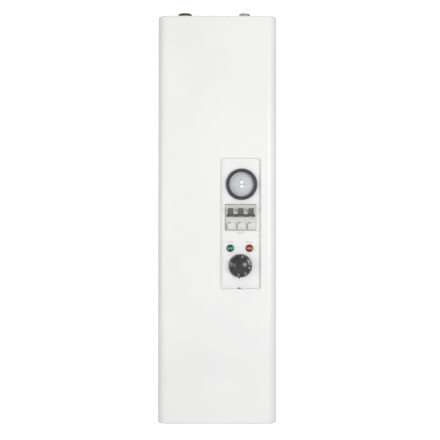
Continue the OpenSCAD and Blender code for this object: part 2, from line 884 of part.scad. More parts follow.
module pressure_capillary() color("peru") {
    start_x = gauge_x + capillary_spread / 2;
    turn_z = fitting_foot_z - 2 * capillary_foot;
    tube_run([
        [start_x, capillary_y - 2 * capillary_foot + seat, gauge_z], [start_x, capillary_y, gauge_z],
        [start_x, capillary_y, turn_z], [start_x, tank_y, turn_z], [fitting_x, tank_y, turn_z],
        [fitting_x, tank_y, fitting_foot_z + capillary_foot]
    ], capillary_d);
}

module thermostat_capillary() color("peru") {
    start_x = knob_x - thermostat_w / 4;
    lane_x = (tank_x + insulation_r + window_x - plate_w / 2) / 2;
    lane_y = thermostat_back_y + capillary_foot;
    z = pocket_z(0);
    tube_run([
        [start_x, thermostat_back_y + seat, knob_z], [start_x, lane_y, knob_z],
        [lane_x, lane_y, knob_z], [lane_x, lane_y, z], [lane_x, tank_y, z],
        [bulb_x + bulb_l + seat, tank_y, z]
    ], capillary_d);
}

module pressure_fitting() color("goldenrod") {
    difference() {
        translate([fitting_x, tank_y, fitting_foot_z]) {
            cylinder(d = fitting_d, h = fitting_h + (safety_pipe_d - safety_bore_d) / 4);
            hexagon(fitting_af, fitting_hex_h);
        }
        translate([fitting_x, tank_y, fitting_foot_z - over])
            cylinder(d = capillary_d + 2 * seat, h = fitting_h + safety_pipe_d + over);
    }
}

// Lamps

module lamp_lens(s) {
    lens_d = lamp_d * lens_d_share;
    translate([lamp_x + s * lamp_pitch / 2, panel_y - lamp_flange_gap, lamp_z]) rotate([90, 0, 0]) {
        cylinder(d = lamp_d, h = lamp_flange_t);
        cylinder(d = lens_d, h = lens_h - lens_chamfer);
        translate([0, 0, lens_h - lens_chamfer])
            cylinder(d1 = lens_d, d2 = lens_d - 2 * lens_chamfer, h = lens_chamfer);
        translate([0, 0, -lens_stem_l]) cylinder(d = lens_stem_d, h = lens_stem_l);
    }
}

module green_lamp_lens() color("seagreen") lamp_lens(-1);

module red_lamp_lens() color("indianred") lamp_lens(1);

module lamp_body(s) color("darkslategray")
    translate([lamp_x + s * lamp_pitch / 2, panel_y, lamp_z]) {
        difference() {
            rod_y(lamp_barrel_d, lamp_barrel_l);
            translate([0, -over, 0]) rod_y(lens_stem_d + 2 * seat, lens_stem_l + over);
        }
        for (e = [-1, 1])
            translate([e * lamp_barrel_d / 4 - lamp_tag_t / 2, lamp_barrel_l, -lamp_tag_w / 2])
                cube([lamp_tag_t, lamp_tag_l, lamp_tag_w]);
    }

// Thermostat

module spindle_outline(gap) {
    difference() {
        circle(d = spindle_d + 2 * gap);
        translate([-spindle_d, spindle_d / 2 - spindle_flat + gap]) square([2 * spindle_d, spindle_d]);
    }
}

module knob_section() {
    grip_r = grip_d / 2;
    difference() {
        union() {
            translate([0, knob_edge_r]) square([grip_r, knob_h - knob_edge_r]);
            square([grip_r - knob_edge_r, knob_edge_r]);
            translate([grip_r - knob_edge_r, knob_edge_r]) circle(r = knob_edge_r);
            polygon([[0, knob_h - knob_skirt_h], [grip_r, knob_h - knob_skirt_h],
                [knob_d / 2, knob_h - knob_rim_h], [knob_d / 2, knob_h], [0, knob_h]]);
        }
        translate([knob_boss_d / 2, knob_h - knob_cavity_h])
            square([(knob_cavity_d - knob_boss_d) / 2, knob_cavity_h + over]);
    }
}

module thermostat_knob() color([0.31, 0.31, 0.31]) {
    bore_y = knob_front_y + knob_h - spindle_in_knob;
    difference() {
        translate([knob_x, knob_front_y, knob_z]) turn_y() knob_section();
        translate([knob_x, bore_y - seat, knob_z])
            slab_y(spindle_in_knob + seat + over) spindle_outline(run_gap);
    }
}

module thermostat_spindle() color("silver") {
    bore_y = knob_front_y + knob_h - spindle_in_knob;
    body_y = plate_back_y + seat;
    difference() {
        translate([knob_x, bore_y, knob_z]) rod_y(spindle_d, body_y + spindle_in_body - bore_y);
        translate([knob_x - spindle_d, bore_y - over, knob_z + spindle_d / 2 - spindle_flat])
            cube([2 * spindle_d, spindle_in_knob + over, spindle_d]);
    }
}

module thermostat_body() color("lightgray") {
    body_y = plate_back_y + seat;
    difference() {
        union() {
            translate([knob_x - thermostat_w / 2, body_y, knob_z - thermostat_h / 2])
                cube([thermostat_w, thermostat_d, thermostat_h]);
            translate([knob_x, panel_y, knob_z]) rod_y(spindle_collar_d, body_y + over - panel_y);
        }
        translate([knob_x, panel_y - over, knob_z])
            rod_y(spindle_d + 2 * run_gap, body_y + spindle_in_body + seat + over - panel_y);
        for (s = [-1, 1]) translate([knob_x + s * thermostat_screw_pitch / 2, body_y - over, knob_z])
            rod_y(thermostat_screw_d + 2 * seat, thermostat_screw_l + over);
    }
}

module thermostat_screws() color("silver")
    for (s = [-1, 1])
        translate([knob_x + s * thermostat_screw_pitch / 2, panel_y - seat, knob_z])
            rotate([90, 0, 0]) pan_screw(thermostat_screw_d, thermostat_screw_l);

// Tank and pipes

module at_pockets() {
    for (k = [0, 1]) translate([tank_x + tank_r, tank_y, pocket_z(k)]) children();
}

module tank_shell() color("darkgray") {
    tube_h = tank_top - tank_bottom;
    difference() {
        union() {
            translate([tank_x, tank_y, tank_bottom]) cylinder(d = tank_d, h = tube_h);
            translate([tank_x, tank_y, tank_top]) cylinder(d = supply_socket_d, h = supply_socket_h);
            translate([tank_x, tank_y, tank_bottom - element_socket_h])
                cylinder(d = element_socket_d, h = element_socket_h);
            at_pockets() translate([-tank_wall, 0, 0])
                rod_x(pocket_boss_d, tank_wall + pocket_boss_h);
            translate([tank_x, tank_y - tank_r - pocket_boss_h, tank_top - limiter_drop])
                rod_y(pocket_boss_d, tank_wall + pocket_boss_h);
        }
        translate([tank_x, tank_y, tank_bottom + tank_cap_t])
            cylinder(d = tank_d - 2 * tank_wall, h = tube_h - 2 * tank_cap_t);
        translate([tank_x, tank_y, tank_top + supply_socket_h - supply_screwed_l - seat])
            cylinder(d = main_thread_d + 2 * seat, h = supply_screwed_l + seat + over);
        translate([tank_x, tank_y, tank_top - tank_cap_t - over])
            cylinder(d = main_bore_d, h = tank_cap_t + supply_socket_h + over);
        translate([tank_x, tank_y, tank_bottom - element_socket_h - over])
            cylinder(
                d = head_thread_d + 2 * element_socket_gap,
                h = element_socket_h + tank_cap_t + 2 * over
            );
        at_pockets() translate([-pocket_boss_d, 0, 0])
            rod_x(pocket_d + 2 * seat, pocket_boss_d + pocket_boss_h + over);
        translate([tank_x, tank_y, safety_z]) rod_x(safety_pipe_d + 2 * seat, tank_d);
        translate([tank_x, tank_y, return_z]) rod_x(main_pipe_d + 2 * seat, tank_d);
    }
}

module tank_insulation() color("silver") {
    bottom = tank_bottom + insulation_end;
    height = tank_top - tank_bottom - 2 * insulation_end;
    difference() {
        translate([tank_x, tank_y, bottom]) cylinder(r = insulation_r, h = height);
        translate([tank_x, tank_y, bottom - over])
            cylinder(r = tank_r + insulation_gap, h = height + 2 * over);
        at_pockets() translate([-tank_r, 0, 0])
            rod_x(pocket_boss_d + 2 * insulation_clear, tank_d);
        translate([tank_x, tank_y - tank_d, tank_top - limiter_drop])
            rod_y(limiter_flange_d + 2 * insulation_clear, tank_d);
        translate([tank_x, tank_y, safety_z])
            rod_x(safety_pipe_d + 2 * insulation_clear, tank_d);
        translate([tank_x, tank_y, return_z])
            rod_x(main_pipe_d + 2 * insulation_clear, tank_d);
        for (k = [0, 1])
            translate([tank_x, tank_y + tank_r, bracket_z(k)]) cube([
                bracket_w + 2 * insulation_clear, tank_d, bracket_h + 2 * insulation_clear
            ], center = true);
    }
}

module at_bracket_screws() {
    for (k = [0, 1], s = [-1, 1])
        translate([tank_x + s * bracket_w / 4, -sheet_t - seat - bracket_t, bracket_z(k)])
            rotate([90, 0, 0]) children();
}

module tank_brackets() color("darkgray") {
    base_y = -sheet_t - seat;
    for (k = [0, 1]) difference() {
        translate([tank_x, 0, bracket_z(k) - bracket_h / 2]) {
            translate([-bracket_w / 2, base_y - bracket_t, 0]) cube([bracket_w, bracket_t, bracket_h]);
            for (s = [-1, 1])
                translate([s * (bracket_w - bracket_t) / 2 - bracket_t / 2, tank_y, 0])
                    cube([bracket_t, base_y - tank_y, bracket_h]);
        }
        translate([tank_x, tank_y, bracket_z(k) - bracket_h / 2 - over])
            cylinder(r = tank_r + seat, h = bracket_h + 2 * over);
        at_bracket_screws() translate([0, 0, -bracket_screw_l])
            cylinder(d = bracket_screw_d + 2 * hole_gap, h = 2 * bracket_screw_l);
    }
}

module bracket_screws() color("silver")
    at_bracket_screws() translate([0, 0, seat]) pan_screw(bracket_screw_d, bracket_t + seat);

module thread_end(d, l) {
    cylinder(d = d, h = l - thread_chamfer);
    translate([0, 0, l - thread_chamfer])
        cylinder(d1 = d, d2 = d - 2 * thread_chamfer, h = thread_chamfer);
}

module supply_nipple() color("darkgoldenrod") {
    foot_z = tank_top + supply_socket_h - supply_screwed_l;
    hex_z = tank_top + supply_socket_h + seat;
    difference() {
        translate([tank_x, tank_y, 0]) {
            translate([0, 0, foot_z]) cylinder(d = main_thread_d, h = hex_z - foot_z);
            translate([0, 0, hex_z]) hexagon(supply_hex_af, supply_hex_h);
            translate([0, 0, hex_z]) cylinder(d = main_pipe_d, h = top_z + thread_start - hex_z);
            translate([0, 0, top_z + thread_start])
                thread_end(main_thread_d, supply_rise - thread_start);
        }
        translate([tank_x, tank_y, foot_z - over])
            cylinder(d = main_bore_d, h = top_z + supply_rise - foot_z + 2 * over);
    }
}

// An elbow pipe from the tank's side: along +X, then up or down
module elbow_pipe(d, z, x, bend_r, up, end_z, extra) {
    start_x = tank_x + tank_r - tank_wall - extra;
    translate([0, tank_y, 0]) {
        translate([start_x, 0, z]) rod_x(d, x - bend_r - start_x);
        translate([x - bend_r, 0, z + up * bend_r]) rotate([90, 0, 0])
            rotate([0, 0, up > 0 ? -90 : 0]) rotate_extrude(angle = 90) translate([bend_r, 0]) circle(d = d);
        bend_end = z + up * bend_r;
        translate([x, 0, min(bend_end, end_z)]) cylinder(d = d, h = abs(end_z - bend_end));
    }
}

module return_pipe() color("darkgray") {
    thread_z = bottom_z - return_reach;
    difference() {
        union() {
            elbow_pipe(main_pipe_d, return_z, return_x, return_bend_r, -1, bottom_z - thread_start, 0);
            translate([return_x, tank_y, bottom_z - thread_start]) mirror([0, 0, 1])
                thread_end(main_thread_d, return_reach - thread_start);
        }
        elbow_pipe(main_bore_d, return_z, return_x, return_bend_r, -1, thread_z - over, over);
    }
}

module safety_pipe() color("darkgray") {
    thread_z = top_z + thread_start;
    difference() {
        union() {
            elbow_pipe(safety_pipe_d, safety_z, safety_x, safety_bend_r, 1, thread_z, 0);
            translate([safety_x, tank_y, thread_z]) thread_end(safety_thread_d, safety_rise - thread_start);
        }
        elbow_pipe(safety_bore_d, safety_z, safety_x, safety_bend_r, 1, top_z + safety_rise + over, over);
        translate([fitting_x, tank_y, safety_z - safety_pipe_d])
            cylinder(d = fitting_d + 2 * seat, h = safety_pipe_d);
    }
}

// A grommet round a pipe of diameter d, clipped into a plate whose lower face is at zero
module grommet(d) {
    bore_r = d / 2 + move_gap;
    hole_r = bore_r + grommet_wall;
    difference() {
        union() {
            translate([0, 0, sheet_t]) cylinder(r = hole_r + grommet_lip, h = grommet_t);
            translate([0, 0, -grommet_t]) cylinder(r = hole_r + grommet_lip, h = grommet_t);
            cylinder(r = hole_r - seat, h = sheet_t);
        }
        translate([0, 0, -grommet_t - over]) cylinder(r = bore_r, h = sheet_t + 2 * (grommet_t + over));
    }
}

module pipe_grommets() color("darkslategray") {
    at_pipes_up() {
        translate([0, 0, -sheet_t]) grommet(main_pipe_d);
        translate([0, 0, -sheet_t]) grommet(safety_pipe_d);
    }
    translate([return_x, tank_y, bottom_z]) grommet(main_pipe_d);
}

module sensor_pockets() color("goldenrod")
    at_pockets() translate([pocket_boss_h + seat, 0, 0]) difference() {
        union() {
            rotate([0, 90, 0]) hexagon(pocket_af, pocket_hex_h);
            translate([pocket_hex_h - pocket_l, 0, 0]) rod_x(pocket_d, pocket_l);
        }
        translate([pocket_hex_h - pocket_l + tank_wall, 0, 0]) rod_x(pocket_bore_d, pocket_l + over);
    }

module overheat_limiter() color("black")
    translate([tank_x, tank_y - tank_r - pocket_boss_h - seat, tank_top - limiter_drop]) rotate([90, 0, 0]) {
        cylinder(d = limiter_flange_d, h = limiter_flange_t);
        cylinder(d = limiter_d, h = limiter_h);
        for (s = [-1, 1])
            translate([s * limiter_d / 4 - limiter_tag_t / 2, -limiter_tag_w / 2, limiter_h])
                cube([limiter_tag_t, limiter_tag_w, limiter_tag_l]);
    }

// Heating elements

module at_element_legs() {
    for (k = [0 : 2], s = [-1, 1])
        translate([tank_x, tank_y, 0]) rotate([0, 0, 120 * k + s * 30])
            translate([element_ring_r, 0, 0]) children();
}

module element_head() color("goldenrod") {
    difference() {
        translate([tank_x, tank_y, head_z]) {
            translate([0, 0, -seat - head_h]) hexagon(head_af, head_h);
            translate([0, 0, -seat]) cylinder(d = head_thread_d, h = seat + gasket_t + head_thread_l);
        }
        at_element_legs() translate([0, 0, head_z - head_h - over])
            cylinder(d = element_d + 2 * seat, h = head_h + gasket_t + head_thread_l + 2 * over);
    }
}

module element_gasket() color("darkslategray")
    translate([tank_x, tank_y, head_z]) difference() {
        cylinder(d = head_af, h = gasket_t - seat);
        translate([0, 0, -over])
            cylinder(d = head_thread_d + 2 * element_socket_gap, h = gasket_t + 2 * over);
    }

module heating_elements() color("silver") {
    foot_z = head_z - seat - head_h;
    bend_r = element_ring_r / 2;
    bend_z = pocket_z(1) - element_clear - bend_r;
    for (k = [0 : 2])
        translate([tank_x, tank_y, 0]) rotate([0, 0, 120 * k])
            translate([element_ring_r * cos(30), 0, bend_z]) rotate([90, 0, 90]) {
                rotate_extrude(angle = 180) translate([bend_r, 0]) circle(d = element_d);
                for (s = [-1, 1]) translate([s * bend_r, 0, 0]) rotate([90, 0, 0])
                    cylinder(d = element_d, h = bend_z - foot_z);
            }
}

module element_terminals() color("silver") {
    foot_z = head_z - seat - head_h - seat - insulator_h;
    at_element_legs() translate([0, 0, foot_z]) {
        cylinder(d = insulator_d, h = insulator_h);
        translate([0, 0, -pin_l]) cylinder(d = pin_d, h = pin_l);
    }
}

// Switchgear

module contactor() color("lightgray") {
    back_y = -sheet_t - seat;
    difference() {
        translate([breaker_x - contactor_w / 2, 0, contactor_z]) {
            translate([0, back_y - contactor_base_d, -contactor_h / 2])
                cube([contactor_w, contactor_base_d, contactor_h]);
            translate([0, back_y - contactor_d, -contactor_nose_h / 2])
                cube([contactor_w, contactor_d, contactor_nose_h]);
        }
        translate([breaker_x, back_y - contactor_d - over, contactor_z])
            slab_y(plunger_l - plunger_proud + plunger_travel + plunger_gap + over)
                square(plunger_w + 2 * plunger_gap, center = true);
        for (i = [0 : 2], s = [-1, 1])
            translate([pole_x(i), -contact_inset, contactor_z + s * (contactor_h / 2 - terminal_hole_depth)])
                cylinder(d = terminal_hole_d, h = 2 * terminal_hole_depth, center = true);
    }
}

module contactor_plunger() color("dimgray")
    translate([breaker_x, -sheet_t - seat - contactor_d - plunger_proud, contactor_z])
        slab_y(plunger_l) square(plunger_w, center = true);

module at_terminals() {
    for (i = [0 : terminal_count - 1])
        translate([pole_x(i), 0, terminal_z]) children();
}

module terminal_block() color("ivory") {
    back_y = -sheet_t - seat;
    w = terminal_count * pole_w;
    difference() {
        translate([pole_x(0) - pole_w / 2, back_y - terminal_d, terminal_z - terminal_h / 2])
            cube([w, terminal_d, terminal_h]);
        at_terminals() {
            translate([0, back_y - terminal_d - over, 0])
                rod_y(terminal_screw_d + 2 * seat, terminal_screw_l + seat + over);
            for (s = [-1, 1])
                translate([0, -terminal_inset, s * (terminal_h / 2 - terminal_hole_depth)])
                    cylinder(d = terminal_hole_d, h = 2 * terminal_hole_depth, center = true);
        }
    }
}

module terminal_screws() color("silver")
    at_terminals() translate([0, -sheet_t - seat - terminal_d, 0]) difference() {
        rod_y(terminal_screw_d, terminal_screw_l);
        translate([-terminal_screw_d, -over, -driver_slot_w / 2])
            cube([2 * terminal_screw_d, over + driver_slot_depth, driver_slot_w]);
    }

module cable_gland() color("darkslategray") {
    bore_foot = gland_flange_h + gland_cap_thread_l + over;
    difference() {
        translate([gland_x, gland_y, bottom_z]) {
            translate([0, 0, -seat - gland_flange_h]) hexagon(gland_af, gland_flange_h);
            translate([0, 0, -seat]) cylinder(d = gland_thread_d, h = seat + sheet_t + gland_thread_l);
            translate([0, 0, -seat - gland_flange_h - gland_cap_thread_l])
                cylinder(d = gland_cap_thread_d, h = gland_cap_thread_l);
        }
        translate([gland_x, gland_y, bottom_z - bore_foot])
            cylinder(d = gland_body_bore_d, h = bore_foot + sheet_t + gland_thread_l + over);
    }
}

module gland_cap() color("darkslategray")
    translate([gland_x, gland_y, bottom_z - 2 * seat - gland_flange_h]) mirror([0, 0, 1]) difference() {
        union() {
            hexagon(gland_af, gland_cap_h - gland_cap_top_h);
            translate([0, 0, gland_cap_h - gland_cap_top_h])
                cylinder(d1 = gland_af, d2 = gland_body_bore_d + gland_cap_top_h, h = gland_cap_top_h);
        }
        translate([0, 0, -over])
            cylinder(d = gland_cap_thread_d + 2 * seat, h = gland_cap_thread_l + seat + over);
        translate([0, 0, -over]) cylinder(d = gland_bore_d, h = gland_cap_h + 2 * over);
    }

module gland_nut() color("darkslategray")
    translate([gland_x, gland_y, bottom_z + sheet_t + seat]) difference() {
        hexagon(gland_af, gland_nut_h);
        translate([0, 0, -over]) cylinder(d = gland_thread_d + 2 * seat, h = gland_nut_h + 2 * over);
    }

// Leads

lead_y = rail_y - terminal_hole_inset;
lead_turn = 10;

// From the terminal block up to the breakers, and from the breakers back down to the contactor
module breaker_leads() color("sienna") {
    foot_z = breaker_z - pole_h / 2;
    head_z = breaker_z + pole_h / 2;
    front_lane_y = tank_y - (main_pipe_d + 3 * lead_d) / 2;
    low_turn_z = terminal_z + terminal_h / 2 + lead_turn;
    for (i = [0 : pole_count - 1]) {
        tube_run([
            [pole_x(i), lead_y, foot_z + terminal_hole_depth],
            [pole_x(i), lead_y, foot_z - lead_turn],
            [pole_x(i), front_lane_y, foot_z - lead_turn],
            [pole_x(i), front_lane_y, low_turn_z],
            [pole_x(i), -terminal_inset, low_turn_z],
            [pole_x(i), -terminal_inset, low_turn_z - lead_turn - terminal_hole_depth]
        ], lead_d);
        tube_run([
            [pole_x(i), lead_y, head_z - terminal_hole_depth],
            [pole_x(i), lead_y, head_z + lead_turn],
            [pole_x(i), -contact_inset, head_z + lead_turn],
            [pole_x(i), -contact_inset, contactor_z + contactor_h / 2 - terminal_hole_depth]
        ], lead_d);
    }
}

// From the contactor to one terminal pin of each element
module element_leads() color("sienna") {
    pin_foot_z = head_z - 2 * seat - head_h - insulator_h - pin_l;
    contact_foot_z = contactor_z - contactor_h / 2;
    for (i = [0 : pole_count - 1]) {
        lane_z = contact_foot_z - lead_turn - 2 * i * lead_d;
        angle = 150 + 120 * i;
        pin_x = tank_x + element_ring_r * cos(angle);
        pin_y = tank_y + element_ring_r * sin(angle);
        tube_run([
            [pole_x(i), -contact_inset, contact_foot_z + terminal_hole_depth],
            [pole_x(i), -contact_inset, lane_z],
            [pin_x, -contact_inset, lane_z],
            [pin_x, -contact_inset, pin_foot_z - lead_turn],
            [pin_x, pin_y, pin_foot_z - lead_turn],
            [pin_x, pin_y, pin_foot_z - seat]
        ], lead_d);
    }
}

back_plate();
front_cover();
cover_screws();
control_plate();
control_plate_screws();
panel_film();
din_rail();
rail_screws();
breaker_pole(0);  // breaker_pole_1
breaker_pole(1);  // breaker_pole_2
breaker_pole(2);  // breaker_pole_3
breaker_lever(0);  // breaker_lever_1
breaker_lever(1);  // breaker_lever_2
breaker_lever(2);  // breaker_lever_3
lever_rod();
gauge_case();
gauge_bezel();
gauge_glass();
gauge_dial();
gauge_movement();
pressure_needle();
temperature_needle();
gauge_clamp();
gauge_bulb();
temperature_capillary();
pressure_capillary();
pressure_fitting();
green_lamp_lens();
red_lamp_lens();
lamp_body(-1);  // green_lamp_body
lamp_body(1);  // red_lamp_body
thermostat_body();
thermostat_spindle();
thermostat_knob();
thermostat_screws();
thermostat_capillary();
thermostat_bulb();
tank_shell();
tank_insulation();
tank_brackets();
bracket_screws();
supply_nipple();
return_pipe();
safety_pipe();
pipe_grommets();
sensor_pockets();
overheat_limiter();
element_head();
element_gasket();
heating_elements();
element_terminals();
contactor();
contactor_plunger();
terminal_block();
terminal_screws();
cable_gland();
gland_cap();
gland_nut();
breaker_leads();
element_leads();
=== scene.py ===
"""Looks of a wall-hung electric boiler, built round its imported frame.

Metres, +Z up; the wall is y = 0 and the front faces -Y.
"""

import json
import math

import bmesh
import bpy
from bpy.props import FloatProperty, FloatVectorProperty, IntProperty, PointerProperty
from mathutils import Matrix, Vector


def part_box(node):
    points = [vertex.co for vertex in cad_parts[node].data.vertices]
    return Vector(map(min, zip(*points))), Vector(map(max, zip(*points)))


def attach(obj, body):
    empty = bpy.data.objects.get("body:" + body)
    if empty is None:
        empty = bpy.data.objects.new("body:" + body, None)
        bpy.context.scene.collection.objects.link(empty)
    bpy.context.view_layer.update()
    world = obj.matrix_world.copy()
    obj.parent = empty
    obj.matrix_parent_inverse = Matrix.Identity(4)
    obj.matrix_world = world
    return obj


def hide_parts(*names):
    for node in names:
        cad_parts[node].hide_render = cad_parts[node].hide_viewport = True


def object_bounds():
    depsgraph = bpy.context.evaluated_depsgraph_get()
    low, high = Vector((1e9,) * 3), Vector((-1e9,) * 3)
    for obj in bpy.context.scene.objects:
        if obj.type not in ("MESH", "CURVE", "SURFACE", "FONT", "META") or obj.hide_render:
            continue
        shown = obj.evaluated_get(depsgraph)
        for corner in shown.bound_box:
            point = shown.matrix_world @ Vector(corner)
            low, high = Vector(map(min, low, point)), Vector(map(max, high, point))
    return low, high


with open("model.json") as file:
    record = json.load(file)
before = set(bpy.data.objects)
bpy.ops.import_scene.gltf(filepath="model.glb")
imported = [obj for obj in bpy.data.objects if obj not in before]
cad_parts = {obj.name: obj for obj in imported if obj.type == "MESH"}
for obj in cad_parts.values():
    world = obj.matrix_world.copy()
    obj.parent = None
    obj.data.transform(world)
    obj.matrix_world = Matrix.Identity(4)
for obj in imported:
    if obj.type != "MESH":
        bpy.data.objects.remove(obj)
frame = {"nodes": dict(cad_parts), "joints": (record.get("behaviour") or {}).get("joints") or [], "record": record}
CAD_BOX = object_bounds()

bl_info = {
    "name": "Electric Boiler",
    "version": (1, 0, 0),
    "blender": (4, 5, 0),
    "location": "View3D > Sidebar > Boiler",
    "description": "Builds the visible pieces and finishes of a wall-hung electric boiler",
    "category": "Object",
}

TURN = 2 * math.pi

# A shape is built round its own +Z and turned towards one side of the boiler
SIDES = {
    "up": Matrix.Identity(4),
    "down": Matrix.Rotation(math.pi, 4, "X"),
    "front": Matrix.Rotation(math.pi / 2, 4, "X"),
    "right": Matrix.Rotation(math.pi / 2, 4, "Y"),
    "left": Matrix.Rotation(-math.pi / 2, 4, "Y"),
}

# Turns a side view, drawn with x towards the front and y up, on edge
ON_EDGE = Matrix(((0, 0, 1, 0), (-1, 0, 0, 0), (0, 1, 0, 0), (0, 0, 0, 1)))


# Sizes and colours that a user may change


def amount(name, description, default, **settings):
    return FloatProperty(name=name, description=description, default=default, **settings)


def length(name, description, default):
    return amount(name, description, default, min=0, unit="LENGTH", precision=5)


def position(name, description, default):
    return amount(name, description, default, unit="LENGTH", precision=5)


def angle(name, description, degrees):
    return amount(name, description, math.radians(degrees), subtype="ANGLE")


def share(name, description, default):
    return amount(name, description, default, min=0, max=1, subtype="FACTOR")


def strength(name, description, default):
    return amount(name, description, default, min=0)


def colour(name, description, default):
    return FloatVectorProperty(
        name=name, description=description, default=default, size=3, min=0, max=1, subtype="COLOR"
    )


class CoverSizes(bpy.types.PropertyGroup):
    """Sheet-steel cover and its screws"""

    sheet: length("Sheet", "Thickness of the cover's sheet", 0.0012)
    corner: length("Corner", "Radius of the upright front edges", 0.018)
    edge: length("Edge", "Rounding of the upper and lower edge under the paint", 0.0011)
    window_margin: length("Window margin", "How far the film reaches past the window", 0.0066)
    window_corner: length("Window corner", "Corner radius of the window", 0.0035)
    window_bend: length("Window bend", "Radius of the bend round the window", 0.0020)
    # The grey strip round the window is painted shade, wide at the window's sides and narrower above and below.
    seal: length("Seal", "Width of the grey seal at the window's sides", 0.0030)
    seal_ends: share("Seal ends", "Width of the seal above and below, as a share of that", 0.3)
    lip_gap: length("Lip gap", "Gap between the window's turned-in edge and the film", 0.0004)
    arc_steps: IntProperty(name="Arc steps", description="Faces round one upright edge", default=24, min=4)
    screw: length("Screw", "Diameter of a cover screw", 0.004)


class PanelSizes(bpy.types.PropertyGroup):
    """Prints on the control panel's film"""

    ink: length("Ink", "Height of a print above the film", 0.00008)
    caption_drop: length("Caption drop", "From the breakers' middle down to their caption", 0.0267)
    lamp_caption: length("Lamp caption", "From a lamp's middle up to its caption", 0.0105)
    caption: length("Caption", "Height of the small captions", 0.0029)
    pointer_w: length("Pointer width", "Width of the red mark below the knob", 0.0085)
    pointer_h: length("Pointer height", "Height of that mark", 0.0085)
    catch_w: length("Catch width", "Width of the dark catch at the window's lower edge", 0.005)
    catch_h: length("Catch height", "Height of that catch", 0.0014)


class BreakerSizes(bpy.types.PropertyGroup):
    """Fronts of the breaker poles and their toggles"""

    drum: length("Drum", "Diameter of the drum that a toggle stands on", 0.008)
    toggle_w: length("Toggle width", "Width of a toggle", 0.009)
    reach: length("Reach", "Reach of a toggle from its pivot", 0.0175)
    root: length("Root", "Thickness of a toggle at its drum", 0.0024)
    tip: length("Tip", "Thickness of a toggle at its tip", 0.0036)
    tilt: angle("Tilt", "Angle of a toggle above level when on", 43)
    apron_first: angle("Inlay start", "Where the drum's light inlay starts below level", 33)
    apron_sweep: angle("Inlay sweep", "How far that inlay runs round the drum", 75)
    rod: length("Rod", "Diameter of the rod through the drums", 0.0024)
    relief: length("Relief", "Height of the details on a pole's front", 0.0003)
    pole_edge: length("Pole edge", "Rounding of a pole's edges", 0.0004)


class GaugeSizes(bpy.types.PropertyGroup):
    """Round gauge for pressure and temperature"""

    sight: length("Sight", "Diameter of the dial that shows", 0.042)
    case: length("Case", "Outside diameter of the gauge's case", 0.050)
    hub: length("Hub", "Diameter of a needle's hub", 0.006)
    hub_h: length("Hub height", "Height of a hub", 0.0016)
    needle_w: length("Needle width", "Width of a needle at its hub", 0.0018)
    needle_tip: length("Needle tip", "Width of a needle at its tip", 0.0009)
    arbor: length("Arbor", "Diameter of a needle's arbor", 0.0012)
    scale_r: length("Scale", "Radius of a scale round its hub", 0.0150)
    pressure_l: length("Pressure needle", "Length of the upper needle", 0.013)
    temperature_l: length("Temperature needle", "Length of the lower needle", 0.0145)
    pressure_rest: angle("Pressure rest", "Upper needle at rest, clockwise from up", -57)
    temperature_rest: angle("Temperature rest", "Lower needle at rest, clockwise from up", 96)
    pressure_sweep: angle("Pressure sweep", "Sweep of the upper scale", 114)
    temperature_sweep: angle("Temperature sweep", "Sweep of the lower scale", 168)


class KnobSizes(bpy.types.PropertyGroup):
    """Thermostat knob and its numbers"""

    grip: length("Grip", "Diameter of the grip", 0.026)
    skirt_h: length("Skirt", "Height of the skirt where it meets the grip", 0.006)
    rim_h: length("Rim", "Height of the skirt's rim", 0.0036)
    crown: length("Crown", "Rise of the grip's domed top", 0.0034)
    numeral: length("Numeral", "Height of a number", 0.0039)
    numeral_r: length("Numeral radius", "Distance of the numbers from the knob's axis", 0.0155)
    first: angle("First number", "Place of the lowest number, clockwise from up", 193)
    step: angle("Step", "Angle between two numbers", 45)
    ink: length("Ink", "Height of the numbers above the skirt", 0.0003)


class PipeSizes(bpy.types.PropertyGroup):
    """Pipe ends, their threads and the cable gland"""

    main: length("Main thread", "Outside diameter of the three quarter inch thread", 0.02644)
    main_pipe: length("Main pipe", "Outside diameter of the supply and return pipe", 0.0269)
    main_bore: length("Main bore", "Bore of the supply and return pipe", 0.020)
    safety: length("Safety thread", "Outside diameter of the half inch thread", 0.02096)
    safety_pipe: length("Safety pipe", "Outside diameter of the safety pipe", 0.0213)
    safety_bore: length("Safety bore", "Bore of the safety pipe", 0.016)
    pitch: length("Pitch", "Pitch of both threads", 0.001814)
    depth: length("Depth", "Depth of both threads", 0.00116)
    start: length("Start", "Distance from the case to where a thread starts", 0.003)
    chamfer: length("Chamfer", "Chamfer on a thread's end", 0.0015)
    gland_af: length("Gland", "Width across the flats of the cable gland", 0.030)
    gland_bore: length("Gland bore", "Bore of the gland's cap", 0.014)


class Colours(bpy.types.PropertyGroup):
    """Colours of the finishes"""

    enamel: colour("Enamel", "Powder coat of the cover", (0.86, 0.86, 0.855))
    inner: colour("Inner sheet", "Powder coat of the back plate", (0.82, 0.82, 0.815))
    # Grey of the strip that paints shade round the window.
    seal: colour("Seal", "Grey seal round the window", (0.78, 0.78, 0.78))
    film: colour("Film", "Printed film of the control panel", (0.86, 0.86, 0.855))
    print_grey: colour("Print", "Grey of the captions", (0.40, 0.40, 0.41))
    print_red: colour("Mark", "Red of the mark below the knob", (0.62, 0.05, 0.12))
    breaker: colour("Breaker", "Moulded body of a breaker pole", (0.66, 0.665, 0.645))
    toggle: colour("Toggle", "Plastic of the toggles", (0.145, 0.145, 0.132))
    bezel: colour("Bezel", "Plastic of the gauge's bezel", (0.048, 0.051, 0.053))
    dial: colour("Dial", "Silver of the gauge's dial", (0.66, 0.68, 0.715))
    knob: colour("Knob", "Plastic of the knob", (0.024, 0.025, 0.026))
    brass: colour("Brass", "Old brass of the fittings", (0.27, 0.235, 0.17))
    steel: colour("Steel", "Galvanised steel of the pipes", (0.74, 0.74, 0.74))
    green: colour("Green", "Green lens", (0.0, 0.25, 0.115))
    red: colour("Red", "Red lens", (0.52, 0.085, 0.03))


